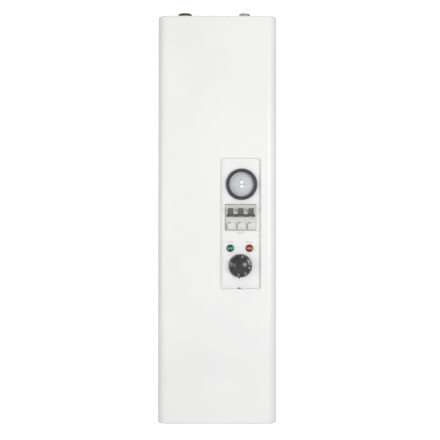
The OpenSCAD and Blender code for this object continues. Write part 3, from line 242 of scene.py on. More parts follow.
class StageSizes(bpy.types.PropertyGroup):
    """Camera, lights and floor"""

    distance: length("Distance", "Camera to the cover's face", 1.2)
    camera_x: position("Camera X", "Camera's place across", 0.0048)
    camera_z: position("Camera Z", "Camera's height", -0.300)
    tilt: angle("Tilt", "How far the camera looks up", 0.4)
    roll: angle("Roll", "How far the camera leans to one side", 0.07)
    lens: amount("Lens", "Focal length for a 36 mm sensor", 57.30, min=1, unit="CAMERA")
    shift: amount("Shift", "Vertical shift of the lens, as a share of the frame", 0.0008)
    left_power: amount("Left light", "Power of the left softbox", 4.0, min=0, unit="POWER")
    right_power: amount("Right light", "Power of the right softbox", 6.5, min=0, unit="POWER")
    top_power: amount("Top light", "Power of the top softbox", 7.0, min=0, unit="POWER")
    ambient: strength("Ambient", "Strength of the light from the front and the back", 0.676)
    side_light: share("Side light", "Strength of the light from the sides, as a share of that", 0.36)
    end_light: share("End light", "Strength of the light from above and below, as a share of that", 0.45)
    backdrop: strength("Backdrop", "Brightness of the white backdrop", 1.1)
    floor_drop: length("Floor drop", "Height of the boiler's lowest point above the floor", 1.3)
    floor: length("Floor", "Width of the floor", 6)


# Places taken from the frame


def middle(node):
    low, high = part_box(node)
    return (low + high) / 2


def joint_point(name):
    return Vector(next(j["pos_m"] for j in frame["joints"] if j["name"] == name))


def at(point, side):
    return Matrix.Translation(point) @ SIDES[side]


def facing_front(centre, y):
    """A place at that depth, straight in front of or behind a centre, turned to the front."""
    return at(Vector((centre.x, y, centre.z)), "front")


# Shader maths


class Value:
    """A number in a material that varies over the surface; arithmetic on it adds Math nodes."""

    def __init__(self, paint, socket):
        self.paint = paint
        self.socket = socket

    def maths(self, operation, *others):
        return self.paint.node("Math", {"operation": operation}, dict(enumerate((self, *others))))

    def __add__(self, other):
        return self.maths("ADD", other)

    def __radd__(self, other):
        return self.maths("ADD", other)

    def __sub__(self, other):
        return self.maths("SUBTRACT", other)

    def __rsub__(self, other):
        return self.paint.node("Math", {"operation": "SUBTRACT"}, {0: other, 1: self})

    def __mul__(self, other):
        return self.maths("MULTIPLY", other)

    def __rmul__(self, other):
        return self.maths("MULTIPLY", other)

    def __abs__(self):
        return self.maths("ABSOLUTE")

    def smooth(self, low, high):
        """Nothing at low, one at high, with soft ends."""
        return self.paint.node(
            "MapRange", {"interpolation_type": "SMOOTHSTEP"}, {0: self, 1: low, 2: high, 3: 0.0, 4: 1.0}
        )


class Tree:
    """A node tree, and the one way in which nodes are added to it."""

    def __init__(self, tree):
        self.tree = tree

    def node(self, kind, settings=None, values=None, out=0):
        made = self.tree.nodes.new("ShaderNode" + kind)
        for key, value in (settings or {}).items():
            setattr(made, key, value)
        for key, value in (values or {}).items():
            if isinstance(value, Value):
                self.tree.links.new(value.socket, made.inputs[key])
            else:
                made.inputs[key].default_value = value
        return Value(self, made.outputs[out])

    def part(self, point, axis):
        return self.node("SeparateXYZ", None, {0: point}, out=axis)

    def output(self, value):
        end = next(n for n in self.tree.nodes if n.type.startswith("OUTPUT"))
        self.tree.links.new(value.socket, end.inputs["Surface"])


class Paint(Tree):
    """One material: a Principled shader and the nodes that feed it."""

    def __init__(self, name, **sockets):
        self.material = bpy.data.materials.new(name)
        self.material.use_nodes = True
        super().__init__(self.material.node_tree)
        self.shader = self.tree.nodes["Principled BSDF"]
        for key, value in sockets.items():
            self.shader.inputs[key.replace("_", " ")].default_value = value

    def feed(self, key, value):
        self.tree.links.new(value.socket, self.shader.inputs[key])

    def place(self, centre=(0, 0, 0)):
        """The point on the surface, in metres in the boiler's frame, counted from a centre."""
        here = self.node("TexCoord", out="Object")
        return self.node("VectorMath", {"operation": "SUBTRACT"}, {0: here, 1: centre})

    def noise(self, point, scale, detail=2.0, roughness=0.5):
        return self.node(
            "TexNoise", None, {"Vector": point, "Scale": scale, "Detail": detail, "Roughness": roughness}
        )

    def stretch(self, point, factors):
        return self.node("VectorMath", {"operation": "MULTIPLY"}, {0: point, 1: factors})

    def mix(self, first, second, factor):
        """A colour between two colours."""
        first, second = ((*c, 1) if isinstance(c, tuple) else c for c in (first, second))
        return self.node("Mix", {"data_type": "RGBA"}, {0: factor, 6: first, 7: second}, out=2)

    def bump(self, height, distance, strength):
        raised = self.node("Bump", None, {"Height": height, "Distance": distance, "Strength": strength})
        self.feed("Normal", raised)


def shade(tint, factor):
    return tuple(min(1.0, c * factor) for c in tint)


# Finishes, one maker for each kind of surface


def powder_coat(name, tint, roughness=0.42):
    """Sprayed and baked paint: fine orange peel, and a slight cloud in gloss and tone."""
    paint = Paint(name, IOR=1.5)
    here = paint.place()
    cloud = paint.noise(here, 7, 3)
    peel = paint.noise(here, 850, 2)
    speck = paint.noise(here, 5200, 1)
    paint.feed("Base Color", paint.mix(shade(tint, 0.975), shade(tint, 1.01), cloud.smooth(0.3, 0.7)))
    paint.feed("Roughness", roughness - 0.05 + 0.1 * cloud)
    paint.bump(peel + 0.25 * speck, 0.00003, 0.5)
    return paint


def cover_coat(name, tint):
    """The cover's powder coat, with painted shade that greys it towards the sheet's upper and lower ends."""
    shade_starts_at, shade_full_at, edge_shade_grey = 0.0034, 0.0006, (0.86, 0.86, 0.86, 1)
    low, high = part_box("front_cover")
    half = (high.z - low.z) / 2
    paint = powder_coat(name, tint)
    coat = Value(paint, paint.shader.inputs["Base Color"].links[0].from_socket)
    height = abs(paint.part(paint.place((low + high) / 2), "Z"))
    # Painted shade: a grey multiplied into the coat near the upper and lower edges.
    edge_shade_mask = height.smooth(half - shade_starts_at, half - shade_full_at)
    multiply = {"data_type": "RGBA", "blend_type": "MULTIPLY"}
    paint.feed("Base Color", paint.node("Mix", multiply, {0: edge_shade_mask, 6: coat, 7: edge_shade_grey}, out=2))
    return paint


def moulded(name, tint, roughness=0.5, grain=0.00002, worn=0.06, painted_glow=0.0, gloss=1.47):
    """Injection-moulded plastic: spark-eroded grain and faint flow marks; painted_glow is painted light: it lets
    the plastic shine faintly in its own colour, which keeps a white one bright though it is no lamp.
    """
    paint = Paint(name, IOR=gloss, Emission_Color=(*tint, 1), Emission_Strength=painted_glow)
    here = paint.place()
    flow = paint.noise(paint.stretch(here, (1, 1, 0.35)), 160, 3)
    grit = paint.noise(here, 4200, 2, 0.7)
    paint.feed("Base Color", paint.mix(shade(tint, 1 - worn), shade(tint, 1 + worn), flow.smooth(0.3, 0.7)))
    paint.feed("Roughness", roughness - 0.06 + 0.12 * flow)
    paint.bump(grit, grain, 0.6)
    return paint


def plated(name, tint, roughness=0.32):
    """Zinc-plated steel: drawn lines, small stains and a dull haze."""
    paint = Paint(name, Metallic=1.0)
    here = paint.place()
    drawn = paint.noise(paint.stretch(here, (1, 1, 0.06)), 2600, 2)
    stain = paint.noise(here, 240, 4, 0.65)
    paint.feed("Base Color", paint.mix(shade(tint, 0.72), shade(tint, 1.08), stain.smooth(0.25, 0.6)))
    paint.feed("Roughness", roughness - 0.08 + 0.22 * stain + 0.06 * drawn)
    paint.bump(drawn, 0.00001, 0.5)
    return paint


def galvanised(name, tint):
    """Hot-dipped steel pipe: grey crystals of zinc with darker scuffs."""
    paint = Paint(name, Metallic=0.75)
    here = paint.place()
    crystal = paint.node("TexVoronoi", None, {"Vector": here, "Scale": 420.0}, out="Color")
    tone = paint.part(crystal, 0)
    scuff = paint.noise(here, 300, 4, 0.7)
    mottled = paint.mix(shade(tint, 0.8), shade(tint, 1.25), tone)
    paint.feed("Base Color", paint.mix(shade(tint, 0.45), mottled, scuff.smooth(0.32, 0.5)))
    paint.feed("Roughness", 0.38 + 0.2 * tone)
    paint.bump(scuff, 0.00006, 0.5)
    return paint


def turned_brass(name, tint, roughness=0.34):
    """Brass off the lathe that has browned with age, with cleaner high spots."""
    paint = Paint(name, Metallic=1.0)
    here = paint.place()
    patina = paint.noise(here, 190, 5, 0.65)
    lathe = paint.noise(paint.stretch(here, (0.05, 0.05, 1)), 5200, 1)
    paint.feed("Base Color", paint.mix(shade(tint, 0.4), shade(tint, 1.5), patina.smooth(0.35, 0.72)))
    paint.feed("Roughness", roughness + 0.28 * (1 - patina))
    paint.bump(lathe, 0.000012, 0.5)
    return paint


def soft_black(name, tint, roughness=0.62):
    """Rubber or fibre: matt, faintly dusty, with a fine pitted skin."""
    paint = Paint(name, IOR=1.5)
    here = paint.place()
    dust = paint.noise(here, 90, 4, 0.7)
    pits = paint.noise(here, 2300, 2)
    paint.feed("Base Color", paint.mix(tint, shade(tint, 1.9), dust.smooth(0.5, 0.8)))
    paint.feed("Roughness", roughness + 0.2 * dust)
    paint.bump(pits, 0.00004, 0.5)
    return paint


def foil_felt(name, tint):
    """Foil-faced felt: creased, bright in patches."""
    paint = Paint(name, Metallic=0.8)
    here = paint.place()
    crease = paint.noise(here, 70, 5, 0.75)
    paint.feed("Base Color", paint.mix(shade(tint, 0.7), shade(tint, 1.2), crease))
    paint.feed("Roughness", 0.3 + 0.4 * crease)
    paint.bump(crease, 0.0012, 0.8)
    return paint


def silver_dial(name, tint):
    """Satin silver dial: a fine grain and a soft change of tone across it."""
    paint = Paint(name, Metallic=0.1)
    here = paint.place(middle("gauge_dial"))
    grain = paint.noise(here, 3200, 2)
    across = paint.part(here, "X").smooth(-0.014, 0.014)
    warm = (tint[0] * 1.02, tint[1], tint[2] * 0.955)
    tone = paint.mix(tint, warm, across)
    paint.feed("Base Color", paint.mix(tone, shade(tint, 1.12), grain.smooth(0.45, 0.75)))
    paint.feed("Roughness", 0.36 + 0.14 * grain)
    paint.bump(grain, 0.000006, 0.4)
    return paint


def clear_glass(name):
    """Flat clear glass: it shows what is behind it and takes a reflection by its angle."""
    paint = Paint(name, IOR=1.5)
    smear = paint.noise(paint.place(), 120, 3)
    paint.feed("Roughness", 0.02 + 0.05 * smear)
    clear = paint.node("BsdfTransparent")
    glossy = Value(paint, paint.shader.outputs[0])
    reflected = 0.5 * paint.node("Fresnel", None, {"IOR": 1.45})
    paint.output(paint.node("MixShader", None, {0: reflected, 1: clear, 2: glossy}))
    paint.material.surface_render_method = "BLENDED"
    return paint


def lit_lens(name, tint, centre):
    """Coloured prism lens with painted light and shade: darker above and below, and painted light across its
    middle, brightest where the lamp's two filaments lie.
    """
    paint = Paint(name, IOR=1.49, Coat_Weight=0.3, Coat_Roughness=0.08)
    here = paint.place(centre)
    filament_x = 0.0024
    height = paint.part(here, "Z")
    along = paint.part(here, "X")
    # Painted light: a lighter strip across the middle, brightest at two places where the filaments lie.
    painted_light_band = 1 - abs(height).smooth(0.0006, 0.0026)
    painted_filament_spots = 1 - abs(abs(along) - filament_x).smooth(0.0004, 0.0016)
    prism = paint.noise(paint.stretch(here, (0.2, 0.2, 1)), 2200, 1)
    # Painted shade darkens the lens above and below that strip.
    painted_shade_and_light = paint.mix(shade(tint, 0.28), shade(tint, 1.2), painted_light_band)
    bright = tuple(min(1.0, c * 1.4 + 0.16) for c in tint)
    paint.feed("Base Color", paint.mix(painted_shade_and_light, bright, painted_light_band * painted_filament_spots * 0.85))
    paint.feed("Roughness", 0.12 + 0.2 * prism)
    paint.bump(prism, 0.00005, 0.3)
    return paint


FINISHES = {}


def finish(name):
    """The material for a finish, made when it is first asked for."""
    if name not in FINISHES:
        FINISHES[name] = make_finish(name)
    return FINISHES[name]


def make_finish(name):
    tints = bpy.context.scene.boiler_colours
    makers = {
        "white_enamel": lambda n: powder_coat(n, tuple(tints.enamel)),
        # The cover's coat carries painted shade along its upper and lower edges.
        "cover_enamel": lambda n: cover_coat(n, tuple(tints.enamel)),
        "inner_sheet": lambda n: powder_coat(n, tuple(tints.inner), 0.5),
        "zinc_steel": lambda n: plated(n, (0.62, 0.61, 0.57)),
        # Grey strip that paints shade round the window's edge.
        "seal": lambda n: moulded(n, tuple(tints.seal), 0.6, worn=0.02),
        "panel_film": lambda n: powder_coat(n, tuple(tints.film), 0.36),
        "breaker_case": lambda n: moulded(n, tuple(tints.breaker), 0.42, worn=0.03),
        "breaker_inlay": lambda n: moulded(n, shade(tints.breaker, 0.96), 0.5, worn=0.03),
        "breaker_label": lambda n: moulded(n, shade(tints.breaker, 1.1), 0.55, worn=0.02),
        # Dark grey for the test button and the lines on a pole's front, one of which is painted shade.
        "breaker_print": lambda n: moulded(n, shade(tints.breaker, 0.52), 0.55),
        "lever_plastic": lambda n: moulded(n, tuple(tints.toggle), 0.48),
        # A darker copy of the toggle plastic: painted shade on the drums below the toggles.
        "drum_plastic": lambda n: moulded(n, shade(tints.toggle, 0.62), 0.48),
        "bezel": lambda n: moulded(n, tuple(tints.bezel), 0.36),
        "gauge_glass": clear_glass,
        "dial": lambda n: silver_dial(n, tuple(tints.dial)),
        "dial_ink": lambda n: moulded(n, (0.30, 0.31, 0.33), 0.6),
        # The hubs shine faintly: painted light that keeps them bright white.
        "needle": lambda n: moulded(n, (0.97, 0.97, 0.97), 0.35, worn=0.02, painted_glow=0.12),
        "needle_blade": lambda n: moulded(n, (0.88, 0.88, 0.89), 0.4, worn=0.02),
        "brass": lambda n: turned_brass(n, tuple(tints.brass)),
        "copper": lambda n: turned_brass(n, (0.62, 0.30, 0.18), 0.3),
        # The lenses carry painted light and painted shade.
        "green_lens": lambda n: lit_lens(n, tuple(tints.green), middle("green_lamp_lens")),
        "red_lens": lambda n: lit_lens(n, tuple(tints.red), middle("red_lamp_lens")),
        "green_rim": lambda n: moulded(n, shade(tints.green, 0.6), 0.4),
        "red_rim": lambda n: moulded(n, shade(tints.red, 0.5), 0.4),
        "dark_plastic": lambda n: moulded(n, (0.045, 0.045, 0.046), 0.5),
        "knob": lambda n: moulded(n, tuple(tints.knob), 0.29, 0.00003, gloss=1.62),
        "knob_ink": lambda n: moulded(n, (0.78, 0.78, 0.77), 0.5, worn=0.02),
        "pipe_steel": lambda n: galvanised(n, tuple(tints.steel)),
        "foam": lambda n: foil_felt(n, (0.52, 0.53, 0.55)),
        "rubber": lambda n: soft_black(n, (0.025, 0.025, 0.026)),
        "fibre": lambda n: soft_black(n, (0.16, 0.10, 0.07)),
        "switchgear": lambda n: moulded(n, (0.56, 0.56, 0.53), 0.5),
        "lead_jacket": lambda n: moulded(n, (0.19, 0.07, 0.03), 0.38),
        "print_grey": lambda n: moulded(n, tuple(tints.print_grey), 0.6),
        "print_red": lambda n: moulded(n, tuple(tints.print_red), 0.45),
    }
    return makers[name](name + "_finish").material


# Mesh building


def soften(corners, steps=5, closed=False):
    """A path through (across, along, rounding) corners, with each corner's rounding drawn in."""
    path = []
    count = len(corners)
    for i, (x, y, rounding) in enumerate(corners):
        if not rounding or (not closed and i in (0, count - 1)):
            path.append((x, y))
            continue
        here = Vector((x, y))
        before = Vector(corners[i - 1][:2]) - here
        after = Vector(corners[(i + 1) % count][:2]) - here
        most = 0.48 * min(before.length, after.length)
        cut = min(rounding / math.tan(before.angle(after) / 2), most)
        start = here + before.normalized() * cut
        end = here + after.normalized() * cut
        for k in range(steps + 1):
            t = k / steps
            path.append(tuple(start * (1 - t) ** 2 + here * 2 * t * (1 - t) + end * t * t))
    return path


def add_rings(bm, rows, segments=96, radius_at=None, closed=False):
    """A skin round +Z through rings of (radius, height); no radius closes it at a point."""
    rings = []
    for radius, height in rows:
        if radius < 1e-7:
            rings.append([bm.verts.new((0, 0, height))])
            continue
        ring = []
        for k in range(segments):
            turn = TURN * k / segments
            reach = radius_at(radius, height, turn) if radius_at else radius
            ring.append(bm.verts.new((reach * math.cos(turn), reach * math.sin(turn), height)))
        rings.append(ring)
    followers = rings[1:] + (rings[:1] if closed else [])
    for low, high in zip(rings, followers):
        for k in range(segments):
            after = (k + 1) % segments
            corners = [low[k % len(low)], low[after % len(low)]]
            corners += [high[after % len(high)], high[k % len(high)]]
            corners = list(dict.fromkeys(corners))
            if len(corners) > 2:
                bm.faces.new(corners)


def add_plate(bm, outlines, low, high):
    """A flat plate in x and y from height low to high; the outlines after the first are holes."""
    before = set(bm.faces)
    edges = []
    for outline in outlines:
        loop = [bm.verts.new((x, y, low)) for x, y in outline]
        edges += [bm.edges.new((loop[i - 1], loop[i])) for i in range(len(loop))]
    bmesh.ops.triangle_fill(bm, edges=edges, use_beauty=True)
    faces = [f for f in bm.faces if f not in before]
    raised = bmesh.ops.extrude_face_region(bm, geom=faces)["geom"]
    rim = [v for v in raised if isinstance(v, bmesh.types.BMVert)]
    bmesh.ops.translate(bm, verts=rim, vec=(0, 0, high - low))


def add_tube(bm, path, radius, segments=48):
    """A skin round a path that lies in a plane of constant y; its ends stay open."""
    back = Vector((0, 1, 0))
    rings = []
    for i, point in enumerate(path):
        ahead = (path[min(i + 1, len(path) - 1)] - path[max(i - 1, 0)]).normalized()
        across = ahead.cross(back)
        ring = []
        for k in range(segments):
            turn = TURN * k / segments
            offset = across * math.cos(turn) + back * math.sin(turn)
            ring.append(bm.verts.new(point + offset * radius))
        rings.append(ring)
    for low, high in zip(rings, rings[1:]):
        for k in range(segments):
            bm.faces.new((low[k], low[k - 1], high[k - 1], high[k]))


def add_part(bm, part, matrix):
    """Moves a part by the matrix and joins it to the rest of a mesh."""
    part.transform(matrix)
    mesh = bpy.data.meshes.new("part")
    part.to_mesh(mesh)
    part.free()
    bm.from_mesh(mesh)
    bpy.data.meshes.remove(mesh)


def quarter(steps):
    """Turns from nothing to a right angle."""
    return [TURN / 4 * k / steps for k in range(steps + 1)]


def round_rect(x, y, w, h, r, steps=6):
    """A rectangle round (x, y) with rounded corners."""
    points = []
    for sx, sy, first in ((1, 1, 0.0), (-1, 1, 0.25), (-1, -1, 0.5), (1, -1, 0.75)):
        corner_x, corner_y = x + sx * (w / 2 - r), y + sy * (h / 2 - r)
        for k in range(steps + 1):
            turn = TURN * (first + 0.25 * k / steps)
            points.append((corner_x + r * math.cos(turn), corner_y + r * math.sin(turn)))
    return points


def add_words(bm, words, size, matrix, thickness):
    """Letters that stand up from a surface, read along x with +y up."""
    text = bpy.data.curves.new("words", "FONT")
    text.body = words
    text.size = size
    text.align_x = "CENTER"
    text.align_y = "CENTER"
    text.extrude = thickness / 2
    text.resolution_u = 3
    holder = bpy.data.objects.new("words", text)
    bpy.context.scene.collection.objects.link(holder)
    graph = bpy.context.evaluated_depsgraph_get()
    mesh = bpy.data.meshes.new_from_object(holder.evaluated_get(graph))
    mesh.transform(matrix)
    bm.from_mesh(mesh)
    bpy.data.objects.remove(holder)
    bpy.data.meshes.remove(mesh)
    bpy.data.curves.remove(text)


def add_box(bm, matrix, x, y, z):
    """A box of that size whose middle is the matrix's origin."""
    bmesh.ops.create_cube(bm, size=1, matrix=matrix @ Matrix.Diagonal((x, y, z, 1)))


def make_piece(
    name, bm, surface, body="root", replaces=(), matrix=None, edge=0.0, sharp=35, flat=False
):
    """Turns a mesh into a piece that rides on a body.

    edge rounds its sharp edges, sharp is the angle from which an edge is one, and flat keeps flats even.
    """
    bmesh.ops.recalc_face_normals(bm, faces=bm.faces)
    if matrix is not None:
        bm.transform(matrix)
    mesh = bpy.data.meshes.new(name)
    bm.to_mesh(mesh)
    bm.free()
    mesh.materials.append(finish(surface))
    mesh.shade_smooth()
    mesh.set_sharp_from_angle(angle=math.radians(sharp))
    piece = bpy.data.objects.new(name, mesh)
    bpy.context.scene.collection.objects.link(piece)
    if edge:
        round_edges(piece, edge)
    if flat:
        keep_flats(piece)
    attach(piece, body)
    if replaces:
        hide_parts(*replaces)
    return piece


def round_edges(piece, width, segments=3):
    """Rounds the piece's sharp edges, and keeps its flat faces flat in the light."""
    piece.data.shade_smooth()
    bevel = piece.modifiers.new("Rounded edges", "BEVEL")
    bevel.width = width
    bevel.segments = segments
    bevel.limit_method = "ANGLE"
    bevel.angle_limit = math.radians(35)
    keep_flats(piece)


def keep_flats(piece):
    """Shades by the larger faces, so that a flat face looks flat up to its edge."""
    normals = piece.modifiers.new("Flat faces", "WEIGHTED_NORMAL")
    normals.keep_sharp = True
    normals.weight = 90


# Cover


def window_box(sizes):
    """Middle, width and height of the window, from the film that reaches past it."""
    low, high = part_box("panel_film")
    hidden = 2 * sizes.window_margin
    return (low + high) / 2, high.x - low.x - hidden, high.z - low.z - hidden


def cover_plan(sizes, low, high, inset):
    """The cover seen from above, from its left edge at the wall round the front to its right edge."""
    r = sizes.corner - inset
    points = [(low.x + inset, high.y)]
    for side, first in ((-1, 0.5), (1, 0.75)):
        for k in range(sizes.arc_steps + 1):
            turn = TURN * (first + 0.25 * k / sizes.arc_steps)
            x = side * (high.x - sizes.corner) + r * math.cos(turn)
            points.append((x, low.y + sizes.corner + r * math.sin(turn)))
    points.append((high.x - inset, high.y))
    return points


def sheet_section(sizes, low_z, high_z):
    """The sheet cut through, as (inset, height): up its outside, over the top edge and down its inside."""
    r = sizes.edge
    path = []
    for z, sign in ((low_z, 1), (high_z, -1)):
        curl = [(r * (1 - math.cos(t)), z + sign * r * (1 - math.sin(t))) for t in quarter(5)]
        path += curl[::-1] if sign > 0 else curl
    return path + [(sizes.sheet, high_z - (sizes.sheet - r)), (sizes.sheet, low_z + (sizes.sheet - r))]


def window_section(sizes, lip):
    """The window's turned-in edge, as (distance outside the window, depth), from front to inside."""
    bend, sheet, nick = sizes.window_bend, sizes.sheet, 0.0002
    inner = bend - sheet
    path = [(bend * (1 - math.sin(t)), bend * (1 - math.cos(t))) for t in quarter(6)]
    path += [(0.0, lip - nick), (nick, lip), (sheet - nick, lip), (sheet, lip - nick)]
    return path + [(bend - inner * math.cos(t), bend - inner * math.sin(t)) for t in quarter(6)]


def seal_section(sizes, film):
    """The grey strip's hollow face, from the window's wall down to the film, and back under it; it paints shade
    along that wall.
    """
    top, foot_h, gap = sizes.window_bend + 0.0002, 0.0003, 0.00005
    path = [(sizes.seal * (math.cos(t) - 1), top + (film - foot_h - top) * math.sin(t)) for t in quarter(6)]
    return [(out - gap, depth) for out, depth in path + [(-sizes.seal, film), (0.0, film)]]


def add_window_loops(bm, sizes, face_y, section, ends=1.0):
    """Loops round the window for a section of (distance outside it, depth).

    ends is how much of that distance they keep above and below.
    """
    centre, w, h = window_box(sizes)
    loops = []
    for off, depth in section:
        corner = sizes.window_corner + off
        outline = round_rect(centre.x, centre.z, w + 2 * off, h + 2 * off * ends, corner)
        loops.append([bm.verts.new((x, face_y + depth, z)) for x, z in outline])
    for first, second in zip(loops, loops[1:]):
        for k in range(len(first)):
            bm.faces.new((first[k - 1], first[k], second[k], second[k - 1]))
    return loops


class BOILER_OT_cover(bpy.types.Operator):
    """Bend the white cover from one sheet, with its round edges and its window"""

    bl_idname = "boiler.cover"
    bl_label = "Cover"

    def execute(self, context):
        sizes = context.scene.boiler_cover
        low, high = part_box("front_cover")
        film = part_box("panel_film")[0].y - low.y
        section = sheet_section(sizes, low.z, high.z)
        rises = [section[i][1] - section[i - 1][1] for i in range(len(section))]
        wall_h = (high.z - low.z) / 2
        bm = bmesh.new()
        rows = []
        for inset, z in section:
            rows.append([bm.verts.new((x, y, z)) for x, y in cover_plan(sizes, low, high, inset)])
        front = sizes.arc_steps + 1
        skins = []
        for i in range(len(rows)):
            first, second = rows[i - 1], rows[i]
            for k in range(len(first) - 1):
                corners = [first[k], first[k + 1], second[k + 1], second[k]]
                if k == front and abs(rises[i]) > wall_h:
                    skins.append((rises[i] > 0, corners))
                else:
                    bm.faces.new(corners)
        for end in (0, -1):
            bm.faces.new([row[end] for row in rows])
        loops = add_window_loops(bm, sizes, low.y, window_section(sizes, film - sizes.lip_gap))
        for is_outside, corners in skins:
            hole = loops[0] if is_outside else loops[-1]
            sides = [(corners[i - 1], corners[i]) for i in range(len(corners))]
            edges = [bm.edges.get(side) or bm.edges.new(side) for side in sides]
            edges += [bm.edges.get((hole[i - 1], hole[i])) for i in range(len(hole))]
            bmesh.ops.triangle_fill(bm, edges=edges, use_beauty=True)
        make_piece(
            "cover_shell", bm, "cover_enamel", replaces=["front_cover"], flat=True
        )
        self.add_seal(sizes, low.y, film)
        return {"FINISHED"}

    def add_seal(self, sizes, face_y, film):
        """The grey strip in the corner between the window's edge and the film, painted shade along that edge."""
        bm = bmesh.new()
        section = seal_section(sizes, film)
        add_window_loops(bm, sizes, face_y, section + section[:1], sizes.seal_ends)
        bmesh.ops.remove_doubles(bm, verts=bm.verts, dist=0.000001)
        make_piece("window_shade_strip", bm, "seal")


def add_cross_head(bm, radius, height, shank, shank_l):
    """A domed screw head with a cross recess, underside at zero, and its shank below."""
    slot_w, slot_l, slot_depth = 0.24 * radius, 0.62 * radius, 0.55 * height
    rows, segments = 20, 64
    rings = []
    for i in range(rows + 1):
        out = radius * (1 - i / rows)
        dome = height * (1 - 0.55 * (out / radius) ** 3)
        ring = []
        for k in range(segments if out > 0 else 1):
            turn = TURN * k / segments
            x, y = out * math.cos(turn), out * math.sin(turn)
            nearest = min(abs(x), abs(y))
            furthest = max(abs(x), abs(y))
            inside = 0 if nearest > slot_w or furthest > slot_l else 1 - (furthest / slot_l) ** 4
            ring.append(bm.verts.new((x, y, dome - slot_depth * inside)))
        rings.append(ring)
    for low, high in zip(rings, rings[1:]):
        for k in range(segments):
            after = (k + 1) % segments
            corners = [low[k], low[after], high[after % len(high)], high[k % len(high)]]
            bm.faces.new(list(dict.fromkeys(corners)))
    foot = [bm.verts.new((v.co.x, v.co.y, 0)) for v in rings[0]]
    for k in range(segments):
        bm.faces.new((foot[k - 1], foot[k], rings[0][k], rings[0][k - 1]))
    bm.faces.new(foot)
    add_rings(bm, [(0, -shank_l), (0.7 * shank, -shank_l), (shank, 0.3 * shank - shank_l), (shank, 0)], 24)


class BOILER_OT_cover_screws(bpy.types.Operator):
    """Turn the four cross-head screws that hold the cover"""

    bl_idname = "boiler.cover_screws"
    bl_label = "Cover screws"

    def execute(self, context):
        sizes = context.scene.boiler_cover
        low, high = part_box("cover_screws")
        cover_low, cover_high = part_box("front_cover")
        head_r = (high.y - low.y) / 2
        head_h = high.x - cover_high.x
        bm = bmesh.new()
        for side, x in (("left", cover_low.x), ("right", cover_high.x)):
            for z in (low.z + head_r, high.z - head_r):
                screw = bmesh.new()
                add_cross_head(screw, head_r, head_h, sizes.screw / 2, 2 * sizes.screw)
                add_part(bm, screw, at(Vector((x, (low.y + high.y) / 2, z)), side))
        make_piece("cover_screw_heads", bm, "zinc_steel", replaces=["cover_screws"])
        return {"FINISHED"}


# Panel prints


class BOILER_OT_prints(bpy.types.Operator):
    """Print the film: plain captions, the knob's red mark and the dark catch"""

    bl_idname = "boiler.prints"
    bl_label = "Prints"

    def execute(self, context):
        sizes = context.scene.boiler_panel
        film_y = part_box("panel_film")[0].y
        on_film = at(Vector((0, film_y, 0)), "front")
        bm = bmesh.new()
        for words, node, rise in (
            ("POWER", "green_lamp_lens", sizes.lamp_caption),
            ("HEATING", "red_lamp_lens", sizes.lamp_caption),
            ("BREAKERS", "breaker_pole_2", -sizes.caption_drop),
        ):
            spot = middle(node)
            spot.z += rise
            add_words(bm, words, sizes.caption, facing_front(spot, film_y - sizes.ink / 2), sizes.ink)
        make_piece("captions", bm, "print_grey")

        aside, inward = 0.0022, 0.0046
        knob_low, knob_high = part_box("thermostat_knob")
        x, top = (knob_low.x + knob_high.x) / 2 - aside, knob_low.z + inward
        half = sizes.pointer_w / 2
        bm = bmesh.new()
        add_plate(bm, [[(x - half, top), (x, top - sizes.pointer_h), (x + half, top)]], 0, sizes.ink)
        make_piece("knob_mark", bm, "print_red", matrix=on_film)

        aside, thick = 0.0021, 0.0018
        centre, _, h = window_box(context.scene.boiler_cover)
        z = centre.z - h / 2 + 0.6 * sizes.catch_h
        catch = round_rect(centre.x - aside, z, sizes.catch_w, sizes.catch_h, 0.48 * sizes.catch_h)
        bm = bmesh.new()
        add_plate(bm, [catch], 0, thick)
        make_piece("panel_catch", bm, "dark_plastic", matrix=on_film)
        return {"FINISHED"}


# Breakers


# What stands on a pole's front, counted from the toggles' pivot:
# place across, place up, width, height and corner radius
LABEL = (0.0018, -0.0173, 0.0106, 0.0066, 0.0008)
FOOT_LINE = (0.0009, -0.0244, 0.0128, 0.0009, 0.0003)
# The head line is painted shade: a dark line along the pole's upper edge.
HEAD_SHADE_LINE = (0, 0.0186, 0.0160, 0.0009, 0.0003)
SIDE_BAR = (-0.0066, -0.0192, 0.0026, 0.0114, 0.0006)
BUTTON = (-0.0026, -0.0127, 0.0044, 0.0022, 0.00105)


def toggle_arch():
    """The surround of a toggle: outside from foot to foot, then back along its opening."""
    outer, inner, foot, top, opening = 0.0073, 0.0053, 0.0049, 0.0176, 0.0154
    arch = [(outer, foot, 0), (outer, top, 0.0012), (-outer, top, 0.0012), (-outer, foot, 0)]
    arch += [(-inner, foot, 0), (-inner, opening, 0.0008), (inner, opening, 0.0008), (inner, foot, 0)]
    return soften(arch, closed=True)


